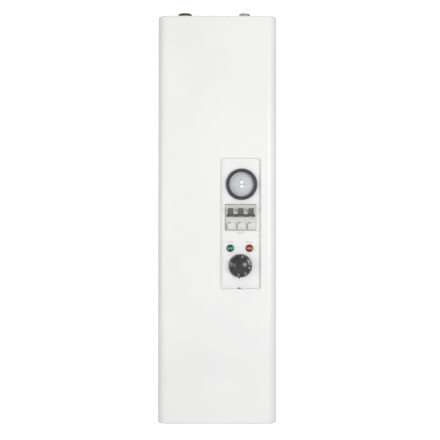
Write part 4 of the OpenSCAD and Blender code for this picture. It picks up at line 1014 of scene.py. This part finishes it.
class BOILER_OT_breaker_fronts(bpy.types.Operator):
    """Set the moulded details, the dark marks and a line of painted shade on the front of each breaker pole"""

    bl_idname = "boiler.breaker_fronts"
    bl_label = "Breaker fronts"

    def execute(self, context):
        sizes = context.scene.boiler_breakers
        lift = sizes.relief
        pivot_z = joint_point("breaker_switch").z
        marks = [round_rect(*mark) for mark in (SIDE_BAR, FOOT_LINE, HEAD_SHADE_LINE)]
        details = (
            ("toggle_surround", [toggle_arch()], "breaker_inlay", lift),
            ("pole_label", [round_rect(*LABEL)], "breaker_label", lift),
            # The dark lines on a pole's front; the one along its upper edge is painted shade.
            ("pole_marks", marks, "breaker_print", lift / 3),
            ("test_button", [round_rect(*BUTTON)], "breaker_print", 3 * lift),
        )
        for number in (1, 2, 3):
            node = f"breaker_pole_{number}"
            low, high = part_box(node)
            face = at(Vector(((low.x + high.x) / 2, low.y, pivot_z)), "front")
            for name, outlines, surface, top in details:
                bm = bmesh.new()
                for outline in outlines:
                    add_plate(bm, [outline], 0, top)
                if name == "pole_label":
                    self.add_lines(bm, lift)
                make_piece(
                    f"{name}_{number}", bm, surface, matrix=face,
                    edge=0.00012, flat=True,
                )
            round_edges(frame["nodes"][node], sizes.pole_edge)
        return {"FINISHED"}

    def add_lines(self, bm, lift):
        """Three raised lines on a label, each shorter than the one above it."""
        for row in range(3):
            z, w = -0.0157 - 0.0016 * row, 0.0066 - 0.0012 * row
            add_plate(bm, [round_rect(0.0026, z, w, 0.0003, 0.0001)], lift, 1.2 * lift)


class BOILER_OT_toggles(bpy.types.Operator):
    """Mould the three toggles with their ribbed grips and drums"""

    bl_idname = "boiler.toggles"
    bl_label = "Toggles"

    def execute(self, context):
        sizes = context.scene.boiler_breakers
        pivot = joint_point("breaker_switch")
        tilt = Matrix.Rotation(-sizes.tilt, 4, "X")
        half_w = sizes.toggle_w / 2
        for number in (1, 2, 3):
            node = f"breaker_lever_{number}"
            low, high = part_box(node)
            on_pole = Matrix.Translation((middle(f"breaker_pole_{number}").x, pivot.y, pivot.z))
            bm = bmesh.new()
            add_rings(bm, self.drum_section(sizes, high.x - low.x), 64, closed=True)
            # The drum takes the darker copy of the toggle plastic as painted shade.
            make_piece(
                f"toggle_drum_{number}", bm, "drum_plastic", "breaker_levers", [node],
                at(Vector((low.x, pivot.y, pivot.z)), "right"),
            )
            bm = bmesh.new()
            add_plate(bm, [self.apron_profile(sizes)], -half_w, half_w)
            make_piece(
                f"toggle_apron_{number}", bm, "breaker_case", "breaker_levers", (),
                on_pole @ ON_EDGE,
            )
            bm = bmesh.new()
            add_plate(bm, [self.toggle_profile(sizes)], -half_w, half_w)
            make_piece(
                f"toggle_{number}", bm, "lever_plastic", "breaker_levers", (),
                on_pole @ tilt @ ON_EDGE, edge=0.00025,
            )
        return {"FINISHED"}

    def drum_section(self, sizes, drum_l):
        """Half of a drum cut along its axis, as (radius, place along it)."""
        r, bore, rounding = sizes.drum / 2, sizes.rod / 2 + 0.00005, 0.0003
        return soften([(bore, 0, 0), (r, 0, rounding), (r, drum_l, rounding), (bore, drum_l, 0)])

    def toggle_profile(self, sizes):
        """A toggle from the side, level: round at its tip and ribbed on top for the finger."""
        r, root, half = sizes.drum / 2, sizes.root / 2, sizes.tip / 2
        tip = sizes.reach - half
        ribs, rib_w, rib_depth = 5, 0.0005, 0.00035
        profile = [(0.4 * r, -root), (r, -root), (tip, -half)]
        for k in range(9):
            turn = math.pi * (k / 8 - 0.5)
            profile.append((tip + half * math.cos(turn), half * math.sin(turn)))
        for k in range(ribs):
            along = tip - (k + 0.5) * (tip - r - 0.001) / ribs
            share_out = (along - r) / (tip - r)
            top = (sizes.root + (sizes.tip - sizes.root) * share_out) / 2
            profile += [(along + rib_w, top), (along, top - rib_depth), (along - rib_w, top)]
        return profile + [(r, root), (0.4 * r, root)]

    def apron_profile(self, sizes):
        """The light inlay on the drum, which closes the slot below a toggle that is on."""
        inner, outer, steps = sizes.drum / 2 + 0.00002, sizes.drum / 2 + 0.00012, 16
        turns = [sizes.apron_first + sizes.apron_sweep * k / steps for k in range(steps + 1)]
        profile = [(outer * math.cos(turn), -outer * math.sin(turn)) for turn in turns]
        return profile + [(inner * math.cos(turn), -inner * math.sin(turn)) for turn in turns[::-1]]


# Gauge


class BOILER_OT_gauge(bpy.types.Operator):
    """Turn the bezel and the glass, and print the dial"""

    bl_idname = "boiler.gauge"
    bl_label = "Gauge"

    def execute(self, context):
        sizes = context.scene.boiler_gauge
        low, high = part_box("gauge_bezel")
        centre = (low + high) / 2
        outer, sight, rim = (high.x - low.x) / 2, sizes.sight / 2, sizes.case / 2 + 0.0001
        tall, slope, lip = high.y - low.y, 0.0012, 0.0018
        profile = [
            (rim, 0, 0),
            (outer, 0, 0.0003),
            (outer, tall, 0.0021),
            (sight + slope, tall, 0.0007),
            (sight, tall - slope, 0.0002),
            (sight, tall - lip, 0),
            (rim, tall - lip, 0),
        ]
        bm = bmesh.new()
        add_rings(bm, soften(profile, 7, closed=True), 144, closed=True)
        make_piece(
            "bezel_ring", bm, "bezel", replaces=["gauge_bezel"],
            matrix=facing_front(centre, high.y),
        )

        glass_low, glass_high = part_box("gauge_glass")
        r, thick, rounding = (glass_high.x - glass_low.x) / 2, glass_high.y - glass_low.y, 0.0002
        bm = bmesh.new()
        add_rings(bm, soften([(0, 0, 0), (r, 0, rounding), (r, thick, rounding), (0, thick, 0)], 3), 96)
        make_piece(
            "sight_glass", bm, "gauge_glass", replaces=["gauge_glass"],
            matrix=facing_front(centre, glass_high.y),
        )

        dial_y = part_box("gauge_dial")[0].y
        self.print_dial(sizes, centre, dial_y)
        r, shoulder, tall, aside = 0.0006, 0.0014, 0.0015, 0.003
        bm = bmesh.new()
        add_rings(bm, soften([(r, 0, 0), (r, shoulder, 0.0003), (0, tall, 0)], 3), 16)
        stop = Vector((centre.x + aside, dial_y, centre.z))
        make_piece("needle_stop", bm, "dark_plastic", matrix=at(stop, "front"))
        return {"FINISHED"}

    def print_dial(self, sizes, centre, dial_y):
        """The two scales with their numbers, and the two units."""
        ink, numeral_h, numeral_in = 0.00006, 0.0026, 0.0039
        unit_h, unit_up, unit_down = 0.0024, 0.0096, -0.0098
        bm = bmesh.new()
        for joint, first, sweep, steps, parts, unit in (
            ("pressure_reading", sizes.pressure_rest, sizes.pressure_sweep, 4, 5, 1),
            ("temperature_reading", sizes.temperature_rest, sizes.temperature_sweep, 6, 4, 20),
        ):
            face = facing_front(joint_point(joint), dial_y - ink / 2)
            for k in range(steps * parts + 1):
                turn = first + sweep * k / (steps * parts)
                tick_w, tick_l = (0.0002, 0.0011) if k % parts else (0.0004, 0.0021)
                outward = Matrix.Translation((0, sizes.scale_r - tick_l / 2, 0))
                add_box(bm, face @ (Matrix.Rotation(-turn, 4, "Z") @ outward), tick_w, tick_l, ink)
                if k % parts == 0:
                    reach = sizes.scale_r - numeral_in
                    spot = Matrix.Translation((reach * math.sin(turn), reach * math.cos(turn), 0))
                    add_words(bm, str(k // parts * unit), numeral_h, face @ spot, ink)
            add_part(bm, self.scale_line(sizes, first, sweep, ink), face)
        for words, z in (("bar", unit_up), ("°C", unit_down)):
            spot = Vector((centre.x, dial_y - ink / 2, centre.z + z))
            add_words(bm, words, unit_h, at(spot, "front"), ink)
        make_piece("dial_print", bm, "dial_ink")

    def scale_line(self, sizes, first, sweep, ink):
        """The thin line on which a scale's ticks stand."""
        line_w, steps = 0.00025, 32
        outline = []
        for radius, order in ((sizes.scale_r + line_w, 1), (sizes.scale_r, -1)):
            for k in range(steps + 1)[::order]:
                turn = first + sweep * k / steps
                outline.append((radius * math.sin(turn), radius * math.cos(turn)))
        line = bmesh.new()
        add_plate(line, [outline], -ink / 2, ink / 2)
        return line


class BOILER_OT_needles(bpy.types.Operator):
    """Make the two white needles with their domed hubs"""

    bl_idname = "boiler.needles"
    bl_label = "Needles"

    def execute(self, context):
        sizes = context.scene.boiler_gauge
        hub_r, arbor_r = sizes.hub / 2, sizes.arbor / 2
        for kind, reach, rest in (
            ("pressure", sizes.pressure_l, sizes.pressure_rest),
            ("temperature", sizes.temperature_l, sizes.temperature_rest),
        ):
            body, node = f"{kind}_pointer", f"{kind}_needle"
            hub = joint_point(f"{kind}_reading")
            low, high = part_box(node)
            hub.y = low.y + sizes.hub_h
            arbor_l = high.y - hub.y
            bm = bmesh.new()
            rows = [
                (0, -arbor_l, 0),
                (arbor_r, -arbor_l, 0),
                (arbor_r, 0, 0),
                (hub_r - 0.0003, 0, 0),
                (hub_r, 0.0003, 0.0003),
                (0.86 * hub_r, sizes.hub_h, 0.0006),
                (0, sizes.hub_h, 0),
            ]
            add_rings(bm, soften(rows, 4), 48)
            make_piece(node + "_hub", bm, "needle", body, [node], at(hub, "front"))
            half, tip, thick = sizes.needle_w / 2, sizes.needle_tip / 2, 0.0004
            blade = [(-half, 0), (-half, 0.5 * reach), (-tip, reach)]
            blade += [(-x, y) for x, y in blade[::-1]]
            bm = bmesh.new()
            add_plate(bm, [blade], 0.4 * sizes.hub_h, 0.4 * sizes.hub_h + thick)
            turned = at(hub, "front") @ Matrix.Rotation(-rest, 4, "Z")
            make_piece(node + "_blade", bm, "needle_blade", body, (), turned)
        return {"FINISHED"}


# Lamps


class BOILER_OT_lamps(bpy.types.Operator):
    """Mould the two lamps: a dark rim and a ribbed lens"""

    bl_idname = "boiler.lamps"
    bl_label = "Lamps"

    def execute(self, context):
        film_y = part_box("panel_film")[0].y
        gap = 0.0001
        for tint in ("green", "red"):
            node, lens = f"{tint}_lamp_lens", f"{tint}_lens"
            low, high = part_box(node)
            base = facing_front((low + high) / 2, film_y - gap)
            flange_r = (high.x - low.x) / 2
            lens_r = 0.84 * flange_r
            rim = [
                (lens_r, 0, 0),
                (flange_r, 0, 0),
                (flange_r, 0.0015, 0.0007),
                (lens_r + 0.0004, 0.0019, 0.0003),
                (lens_r, 0.0013, 0),
            ]
            bm = bmesh.new()
            add_rings(bm, soften(rim, 4, closed=True), 72, closed=True)
            make_piece(f"{tint}_lamp_rim", bm, f"{tint}_rim", matrix=base)
            top = film_y - low.y - gap
            rows = [(0, 0, 0), (lens_r - gap, 0, 0), (lens_r - gap, 0.55 * top, 0.0004)]
            rows += [(0.93 * lens_r, 0.82 * top, 0.0008), (0.72 * lens_r, top, 0.0012), (0, top, 0)]
            bm = bmesh.new()
            add_rings(bm, soften(rows, 6), 72)
            make_piece(f"{tint}_lamp_dome", bm, lens, replaces=[node], matrix=base)
        return {"FINISHED"}


# Thermostat knob


class BOILER_OT_knob(bpy.types.Operator):
    """Mould the knob and print the numbers and ticks on its skirt"""

    bl_idname = "boiler.knob"
    bl_label = "Knob"

    def execute(self, context):
        sizes = context.scene.boiler_knob
        low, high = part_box("thermostat_knob")
        outer, tall = (high.x - low.x) / 2, high.y - low.y
        base = facing_front((low + high) / 2, high.y)
        bm = bmesh.new()
        self.add_body(bm, sizes, outer, tall)
        make_piece(
            "knob_body", bm, "knob", "thermostat_control", ["thermostat_knob"], base, sharp=40
        )
        bm = bmesh.new()
        self.print_skirt(bm, sizes, outer)
        make_piece("knob_numbers", bm, "knob_ink", "thermostat_control", (), base)
        return {"FINISHED"}

    def add_body(self, bm, sizes, outer, tall):
        """Skirt, fluted grip and domed top."""
        grip, shoulder = sizes.grip / 2, tall - sizes.crown
        dome_r, dome_rings, wall_rings = grip - 0.0004, 14, 8
        rows = [
            (0, 0, 0),
            (outer - 0.0012, 0, 0.0004),
            (outer, 0.0008, 0.0004),
            (outer, sizes.rim_h, 0.0008),
            (self.skirt_r(sizes), sizes.skirt_h, 0.0006),
            (grip, sizes.skirt_h + 0.0012, 0.0003),
            (dome_r, shoulder, 0.0012),
        ]
        for k in range(1, dome_rings + 1):
            out = 1 - k / dome_rings
            rows.append((dome_r * out, tall - sizes.crown * out ** 2, 0))
        flutes, flute_d = 24, 0.00032

        def fluted(radius, height, turn):
            """Shallow flutes along the grip's wall, fading out at both ends."""
            if radius > grip + 0.0003 or radius < grip - 0.0016:
                return radius
            rising, falling = (height - sizes.skirt_h - 0.001) / 0.0015, (shoulder - height) / 0.002
            inside = min(1, max(0, rising), max(0, falling))
            return radius - flute_d * inside * (0.5 + 0.5 * math.cos(flutes * turn))

        path = soften(rows, 6)
        filled = []
        for here, after in zip(path, path[1:]):
            is_wall = after[1] - here[1] > 0.002 and abs(after[0] - here[0]) < 0.001
            parts = wall_rings if is_wall else 1
            for k in range(parts):
                filled.append(tuple(a + (b - a) * k / parts for a, b in zip(here, after)))
        filled.append(path[-1])
        add_rings(bm, filled, 192, fluted)

    def skirt_r(self, sizes):
        """Radius at which the skirt meets the grip."""
        return sizes.grip / 2 + 0.0006

    def print_skirt(self, bm, sizes, outer):
        """The numbers from the lowest up, the dash at the off end, and the ticks between them."""
        slope = math.atan2(sizes.skirt_h - sizes.rim_h, outer - self.skirt_r(sizes))
        for k, value in enumerate(range(30, 80, 10)):
            spot = self.on_skirt(sizes, outer, slope, sizes.first - sizes.step * k, sizes.numeral_r)
            upright = spot @ Matrix.Rotation(math.pi, 4, "Z")
            add_words(bm, str(value), sizes.numeral, upright, sizes.ink)
        steps, ticks_a_step, dash_w, dash_l = 6, 6, 0.0006, 0.0032
        dash = self.on_skirt(sizes, outer, slope, sizes.first - steps * sizes.step, sizes.numeral_r)
        add_box(bm, dash, dash_w, dash_l, sizes.ink)
        for k in range(steps * ticks_a_step + 1):
            turn = sizes.first - sizes.step * k / ticks_a_step
            tick_w, tick_l = (0.00028, 0.0011) if k % ticks_a_step else (0.00045, 0.0019)
            spot = self.on_skirt(sizes, outer, slope, turn, outer - 0.0009 - tick_l / 2)
            add_box(bm, spot, tick_w, tick_l, sizes.ink)

    def on_skirt(self, sizes, outer, slope, turn, radius):
        """A place on the skirt, facing out of it, with up away from the knob's axis."""
        height = sizes.rim_h + (outer - radius) * math.tan(slope)
        spin = Matrix.Rotation(-turn, 4, "Z")
        return spin @ Matrix.Translation((0, radius, height)) @ Matrix.Rotation(-slope, 4, "X")


# Pipes, grommets and gland


def add_thread_end(bm, radius, reach, bore_r, bore_l, sizes):
    """A threaded pipe end up +Z from zero, with a chamfered mouth and its bore."""
    rings_a_turn, mouth = 10, 0.0004
    count = int(reach / sizes.pitch * rings_a_turn)

    def cut(ring_r, height, turn):
        """The outside at one point: the groove, which runs in from nothing, or the chamfer."""
        if ring_r < radius - 1e-6:
            return ring_r
        phase = (height / sizes.pitch - turn / TURN) % 1
        groove = sizes.depth * min(1, max(0, 1.12 - abs(2 * phase - 1) * 1.24))
        fade = min(1, max(0, height / (1.5 * sizes.pitch)))
        bevel = max(0, height - (reach - sizes.chamfer))
        return min(radius - groove * fade, radius - bevel)

    rows = [(bore_r, -bore_l), (bore_r, reach - mouth), (bore_r + mouth, reach)]
    rows += [(radius, reach * (count - k) / count) for k in range(count + 1)]
    add_rings(bm, rows, 72, cut)


def hexagon(across_flats, turn):
    """How far a hexagon reaches in that direction."""
    return across_flats / 2 / math.cos((turn + math.pi / 6) % (math.pi / 3) - math.pi / 6)


class BOILER_OT_pipes(bpy.types.Operator):
    """Run the three pipes and cut their threads"""

    bl_idname = "boiler.pipes"
    bl_label = "Pipes"

    def execute(self, context):
        sizes = context.scene.boiler_pipes
        under, over = (box_end.z for box_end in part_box("back_plate"))
        self.make_supply(sizes, over + sizes.start)
        for node, side, start_z, thread_d, bore_d, bend in (
            ("return_pipe", "down", under - sizes.start, sizes.main, sizes.main_bore, 0.027),
            ("safety_pipe", "up", over + sizes.start, sizes.safety, sizes.safety_bore, 0.030),
        ):
            self.make_bend(sizes, node, side, start_z, thread_d, bore_d, bend)
        return {"FINISHED"}

    def make_supply(self, sizes, start_z):
        """The straight supply pipe with the hexagon that screws it down."""
        hexagon_af, hexagon_foot, hexagon_top = 0.032, 0.0121, 0.0201
        low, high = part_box("supply_nipple")
        axis = (low + high) / 2
        thread_r, pipe_r, bore_r = sizes.main / 2, sizes.main_pipe / 2, sizes.main_bore / 2
        foot = low.z - start_z
        bm = bmesh.new()
        add_thread_end(bm, thread_r, high.z - start_z, bore_r, start_z - low.z, sizes)
        add_rings(bm, [(bore_r, foot), (thread_r, foot), (thread_r, foot + hexagon_foot)], 72)
        add_rings(bm, [(pipe_r, foot + hexagon_top), (pipe_r, 0), (thread_r, 0)], 72)
        self.add_hexagon(bm, hexagon_af, foot + hexagon_foot, foot + hexagon_top, pipe_r - 0.001)
        make_piece(
            "supply_pipe_end", bm, "brass", replaces=["supply_nipple"],
            matrix=at(Vector((axis.x, axis.y, start_z)), "up"), sharp=28,
        )

    def add_hexagon(self, bm, across_flats, low, high, bore_r):
        """A hexagon with turned corners, closed round a bore."""
        flat_r, chamfer = across_flats / 2, 0.0008
        turned_r, corner_r = flat_r - 0.0002, flat_r / math.cos(math.pi / 6)

        def hexed(radius, height, turn):
            """The flats, or the turned chamfer where that lies further in."""
            if radius < flat_r - chamfer - 1e-6:
                return radius
            return min(hexagon(across_flats, turn), radius)

        rows = [(bore_r, low), (turned_r, low), (corner_r, low + chamfer), (corner_r, high - chamfer)]
        rows += [(turned_r, high), (bore_r, high)]
        add_rings(bm, rows, 96, hexed)

    def make_bend(self, sizes, node, side, start_z, thread_d, bore_d, bend):
        """A pipe that leaves the tank level and bends up or down to its threaded end."""
        low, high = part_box(node)
        pipe_r = (high.y - low.y) / 2
        x, y = high.x - pipe_r, (low.y + high.y) / 2
        if side == "up":
            sign, branch_z, end_z = 1, low.z + pipe_r, high.z
        else:
            sign, branch_z, end_z = -1, high.z - pipe_r, low.z
        path = [Vector((low.x, y, branch_z))]
        for turn in quarter(16):
            along, rise = bend * math.sin(turn), bend * (1 - math.cos(turn))
            path.append(Vector((x - bend + along, y, branch_z + sign * rise)))
        path.append(Vector((x, y, start_z)))
        bm = bmesh.new()
        add_thread_end(bm, thread_d / 2, abs(end_z - start_z), bore_d / 2, 0.02, sizes)
        add_rings(bm, [(pipe_r, 0), (thread_d / 2, 0)], 72)
        bm.transform(at(Vector((x, y, start_z)), side))
        add_tube(bm, path, pipe_r, 72)
        make_piece(f"{node}_run", bm, "pipe_steel", replaces=[node], sharp=28)


class BOILER_OT_grommets(bpy.types.Operator):
    """Mould the rubber grommets that the pipes pass through"""

    bl_idname = "boiler.grommets"
    bl_label = "Grommets"

    def execute(self, context):
        sizes = context.scene.boiler_pipes
        sheet = context.scene.boiler_cover.sheet
        plate_low, plate_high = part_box("back_plate")
        supply = middle("supply_nipple")
        safety_x, return_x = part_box("safety_pipe")[1].x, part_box("return_pipe")[1].x
        main_r, safety_r = sizes.main_pipe / 2, sizes.safety_pipe / 2
        seats = [
            (supply.x, plate_high.z - sheet, main_r),
            (safety_x - safety_r, plate_high.z - sheet, safety_r),
            (return_x - main_r, plate_low.z, main_r),
        ]
        bm = bmesh.new()
        lip, thick = 0.002, 0.002
        for x, z, pipe_r in seats:
            bore, hole = pipe_r + 0.0003, pipe_r + 0.002
            neck, outer = hole - 0.0001, hole + lip
            rows = [
                (bore, -thick, 0.0005),
                (outer, -thick, 0.0009),
                (outer, 0, 0.0001),
                (neck, 0, 0),
                (neck, sheet, 0),
                (outer, sheet, 0.0001),
                (outer, sheet + thick, 0.0009),
                (bore, sheet + thick, 0.0005),
            ]
            ring = bmesh.new()
            add_rings(ring, soften(rows, 4, closed=True), 72, closed=True)
            add_part(bm, ring, Matrix.Translation((x, supply.y, z)))
        make_piece("pipe_collars", bm, "rubber", replaces=["pipe_grommets"])
        return {"FINISHED"}


class BOILER_OT_gland(bpy.types.Operator):
    """Mould the cable gland's ribbed cap"""

    bl_idname = "boiler.gland"
    bl_label = "Cable gland"

    def execute(self, context):
        sizes = context.scene.boiler_pipes
        low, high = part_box("gland_cap")
        axis = (low + high) / 2
        tall, dome_h = high.z - low.z, 0.005
        bore, flat_r, hexagon_l = sizes.gland_bore / 2, sizes.gland_af / 2, tall - dome_h
        corner_r = flat_r / math.cos(math.pi / 6)
        socket_r, socket_h = 0.0107, 0.0081
        ribs, rib_h = 36, 0.00022

        def ribbed(radius, height, turn):
            """Six flats, with grip ribs on each."""
            if radius < flat_r - 0.001 or height > hexagon_l:
                return radius
            rib = rib_h * (0.5 + 0.5 * math.cos(ribs * turn))
            return min(hexagon(sizes.gland_af, turn) - rib, radius)

        rows = [(socket_r, 0), (flat_r, 0), (corner_r, 0.001)]
        rows += [(corner_r, hexagon_l * k / 6) for k in range(1, 7)]
        dome = [
            (flat_r, hexagon_l + 0.0002, 0),
            (flat_r - 0.0008, tall - 0.0012, 0.002),
            (bore + 0.0008, tall, 0.0008),
            (bore, tall - 0.001, 0.0004),
            (bore, tall - 0.006, 0),
        ]
        rows += soften(dome) + [(bore, socket_h), (socket_r, socket_h)]
        bm = bmesh.new()
        add_rings(bm, rows, 216, ribbed, closed=True)
        make_piece(
            "gland_dome", bm, "dark_plastic", replaces=["gland_cap"],
            matrix=at(Vector((axis.x, axis.y, high.z)), "down"), sharp=30,
        )
        return {"FINISHED"}


# Everything that stays as the frame has it


class BOILER_OT_inner_works(bpy.types.Operator):
    """Give every piece that the frame still shows its finish"""

    bl_idname = "boiler.inner_works"
    bl_label = "Inner works"

    def execute(self, context):
        slots = {s["node"]: s["material_slot"] for s in frame["record"]["subparts"]}
        shown = {name: node for name, node in frame["nodes"].items() if not node.hide_render}
        for name, node in shown.items():
            for slot in node.material_slots:
                slot.material = finish(slots[name])
        return {"FINISHED"}


# Stage


class BOILER_OT_stage(bpy.types.Operator):
    """Set the camera, the soft lights and the pale floor"""

    bl_idname = "boiler.stage"
    bl_label = "Stage"

    def execute(self, context):
        scene, sizes = context.scene, context.scene.boiler_stage
        low, high = CAD_BOX
        face = Vector((0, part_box("front_cover")[0].y, (low.z + high.z) / 2))
        self.set_camera(scene, sizes, face.y)
        self.set_softboxes(scene, sizes, face)
        self.set_room(scene, sizes)
        self.lay_floor(scene, sizes, low.z - sizes.floor_drop)
        scene.view_settings.view_transform = "Standard"
        scene.cycles.use_denoising = True
        return {"FINISHED"}

    def set_camera(self, scene, sizes, face_y):
        lens = bpy.data.cameras.new("Camera")
        lens.sensor_width = 36
        lens.lens = sizes.lens
        lens.shift_y = sizes.shift
        camera = bpy.data.objects.new("Camera", lens)
        camera.location = (sizes.camera_x, face_y - sizes.distance, sizes.camera_z)
        camera.rotation_euler = (math.pi / 2 + sizes.tilt, -sizes.roll, 0)
        scene.collection.objects.link(camera)
        scene.camera = camera

    def set_softboxes(self, scene, sizes, face):
        """Three softboxes, each at a place counted from the cover's face and turned to it."""
        for name, place, (w, h), power in (
            ("Left softbox", (-1.05, -0.76, 0.0), (0.5, 0.5), sizes.left_power),
            ("Right softbox", (0.78, -1.03, 0.12), (0.46, 0.42), sizes.right_power),
            ("Top softbox", (-0.2, -0.5, 1.9), (2.2, 1.2), sizes.top_power),
        ):
            light = bpy.data.lights.new(name, "AREA")
            light.shape = "RECTANGLE"
            light.size, light.size_y = w, h
            light.energy = power
            lamp = bpy.data.objects.new(name, light)
            lamp.location = face + Vector(place)
            lamp.rotation_euler = (face - lamp.location).to_track_quat("-Z", "Y").to_euler()
            scene.collection.objects.link(lamp)

    def set_room(self, scene, sizes):
        """A white room whose light is weaker from the sides, from above and from below."""
        world = bpy.data.worlds.new("Studio")
        scene.world = world
        world.use_nodes = True
        room = Tree(world.node_tree)
        way, white = room.node("TexCoord", out="Generated"), (1, 1, 1, 1)
        aside, upward = room.part(way, "X"), room.part(way, "Z")
        level = 1 - (1 - sizes.side_light) * aside * aside - (1 - sizes.end_light) * upward * upward
        light = room.node("Background", None, {"Color": white, "Strength": sizes.ambient * level})
        backdrop = room.node("Background", None, {"Color": white, "Strength": sizes.backdrop})
        seen = room.node("LightPath", out="Is Camera Ray")
        room.output(room.node("MixShader", None, {0: seen, 1: light, 2: backdrop}))

    def lay_floor(self, scene, sizes, height):
        """A pale floor that goes over into the backdrop towards its rim."""
        pale = Paint("pale_floor", Roughness=0.9, Emission_Strength=sizes.backdrop)
        here = pale.place()
        grain = pale.noise(here, 30, 3)
        away = pale.node("VectorMath", {"operation": "LENGTH"}, {0: here}, out="Value")
        rim = away.smooth(0.25 * sizes.floor, 0.48 * sizes.floor)
        matt = pale.mix((0.9, 0.9, 0.9), (0.93, 0.93, 0.93), grain)
        pale.feed("Base Color", pale.mix(matt, (0.0, 0.0, 0.0), rim))
        pale.feed("Emission Color", pale.mix((0.22, 0.22, 0.22), (1.0, 1.0, 1.0), rim))
        bm = bmesh.new()
        bmesh.ops.create_grid(bm, x_segments=8, y_segments=8, size=sizes.floor / 2)
        mesh = bpy.data.meshes.new("floor")
        bm.to_mesh(mesh)
        bm.free()
        mesh.materials.append(pale.material)
        floor = bpy.data.objects.new("floor", mesh)
        floor.location.z = height
        scene.collection.objects.link(floor)


class BOILER_PT_panel(bpy.types.Panel):
    """Lists the boiler's pieces"""

    bl_label = "Boiler"
    bl_idname = "BOILER_PT_panel"
    bl_space_type = "VIEW_3D"
    bl_region_type = "UI"
    bl_category = "Boiler"

    def draw(self, context):
        for step in STEPS:
            self.layout.operator(step.bl_idname)


GROUPS = {
    "boiler_cover": CoverSizes,
    "boiler_panel": PanelSizes,
    "boiler_breakers": BreakerSizes,
    "boiler_gauge": GaugeSizes,
    "boiler_knob": KnobSizes,
    "boiler_pipes": PipeSizes,
    "boiler_colours": Colours,
    "boiler_stage": StageSizes,
}
STEPS = (
    BOILER_OT_cover,
    BOILER_OT_cover_screws,
    BOILER_OT_prints,
    BOILER_OT_breaker_fronts,
    BOILER_OT_toggles,
    BOILER_OT_gauge,
    BOILER_OT_needles,
    BOILER_OT_lamps,
    BOILER_OT_knob,
    BOILER_OT_pipes,
    BOILER_OT_grommets,
    BOILER_OT_gland,
    BOILER_OT_inner_works,
    BOILER_OT_stage,
)


def register():
    for item in (*GROUPS.values(), *STEPS, BOILER_PT_panel):
        bpy.utils.register_class(item)
    for name, group in GROUPS.items():
        setattr(bpy.types.Scene, name, PointerProperty(type=group))


def unregister():
    for name in GROUPS:
        delattr(bpy.types.Scene, name)
    for item in reversed((*GROUPS.values(), *STEPS, BOILER_PT_panel)):
        bpy.utils.unregister_class(item)


def main():
    register()
    for step in STEPS:
        family, name = step.bl_idname.split(".")
        getattr(getattr(bpy.ops, family), name)()
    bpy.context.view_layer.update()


if __name__ == "__main__":
    main()
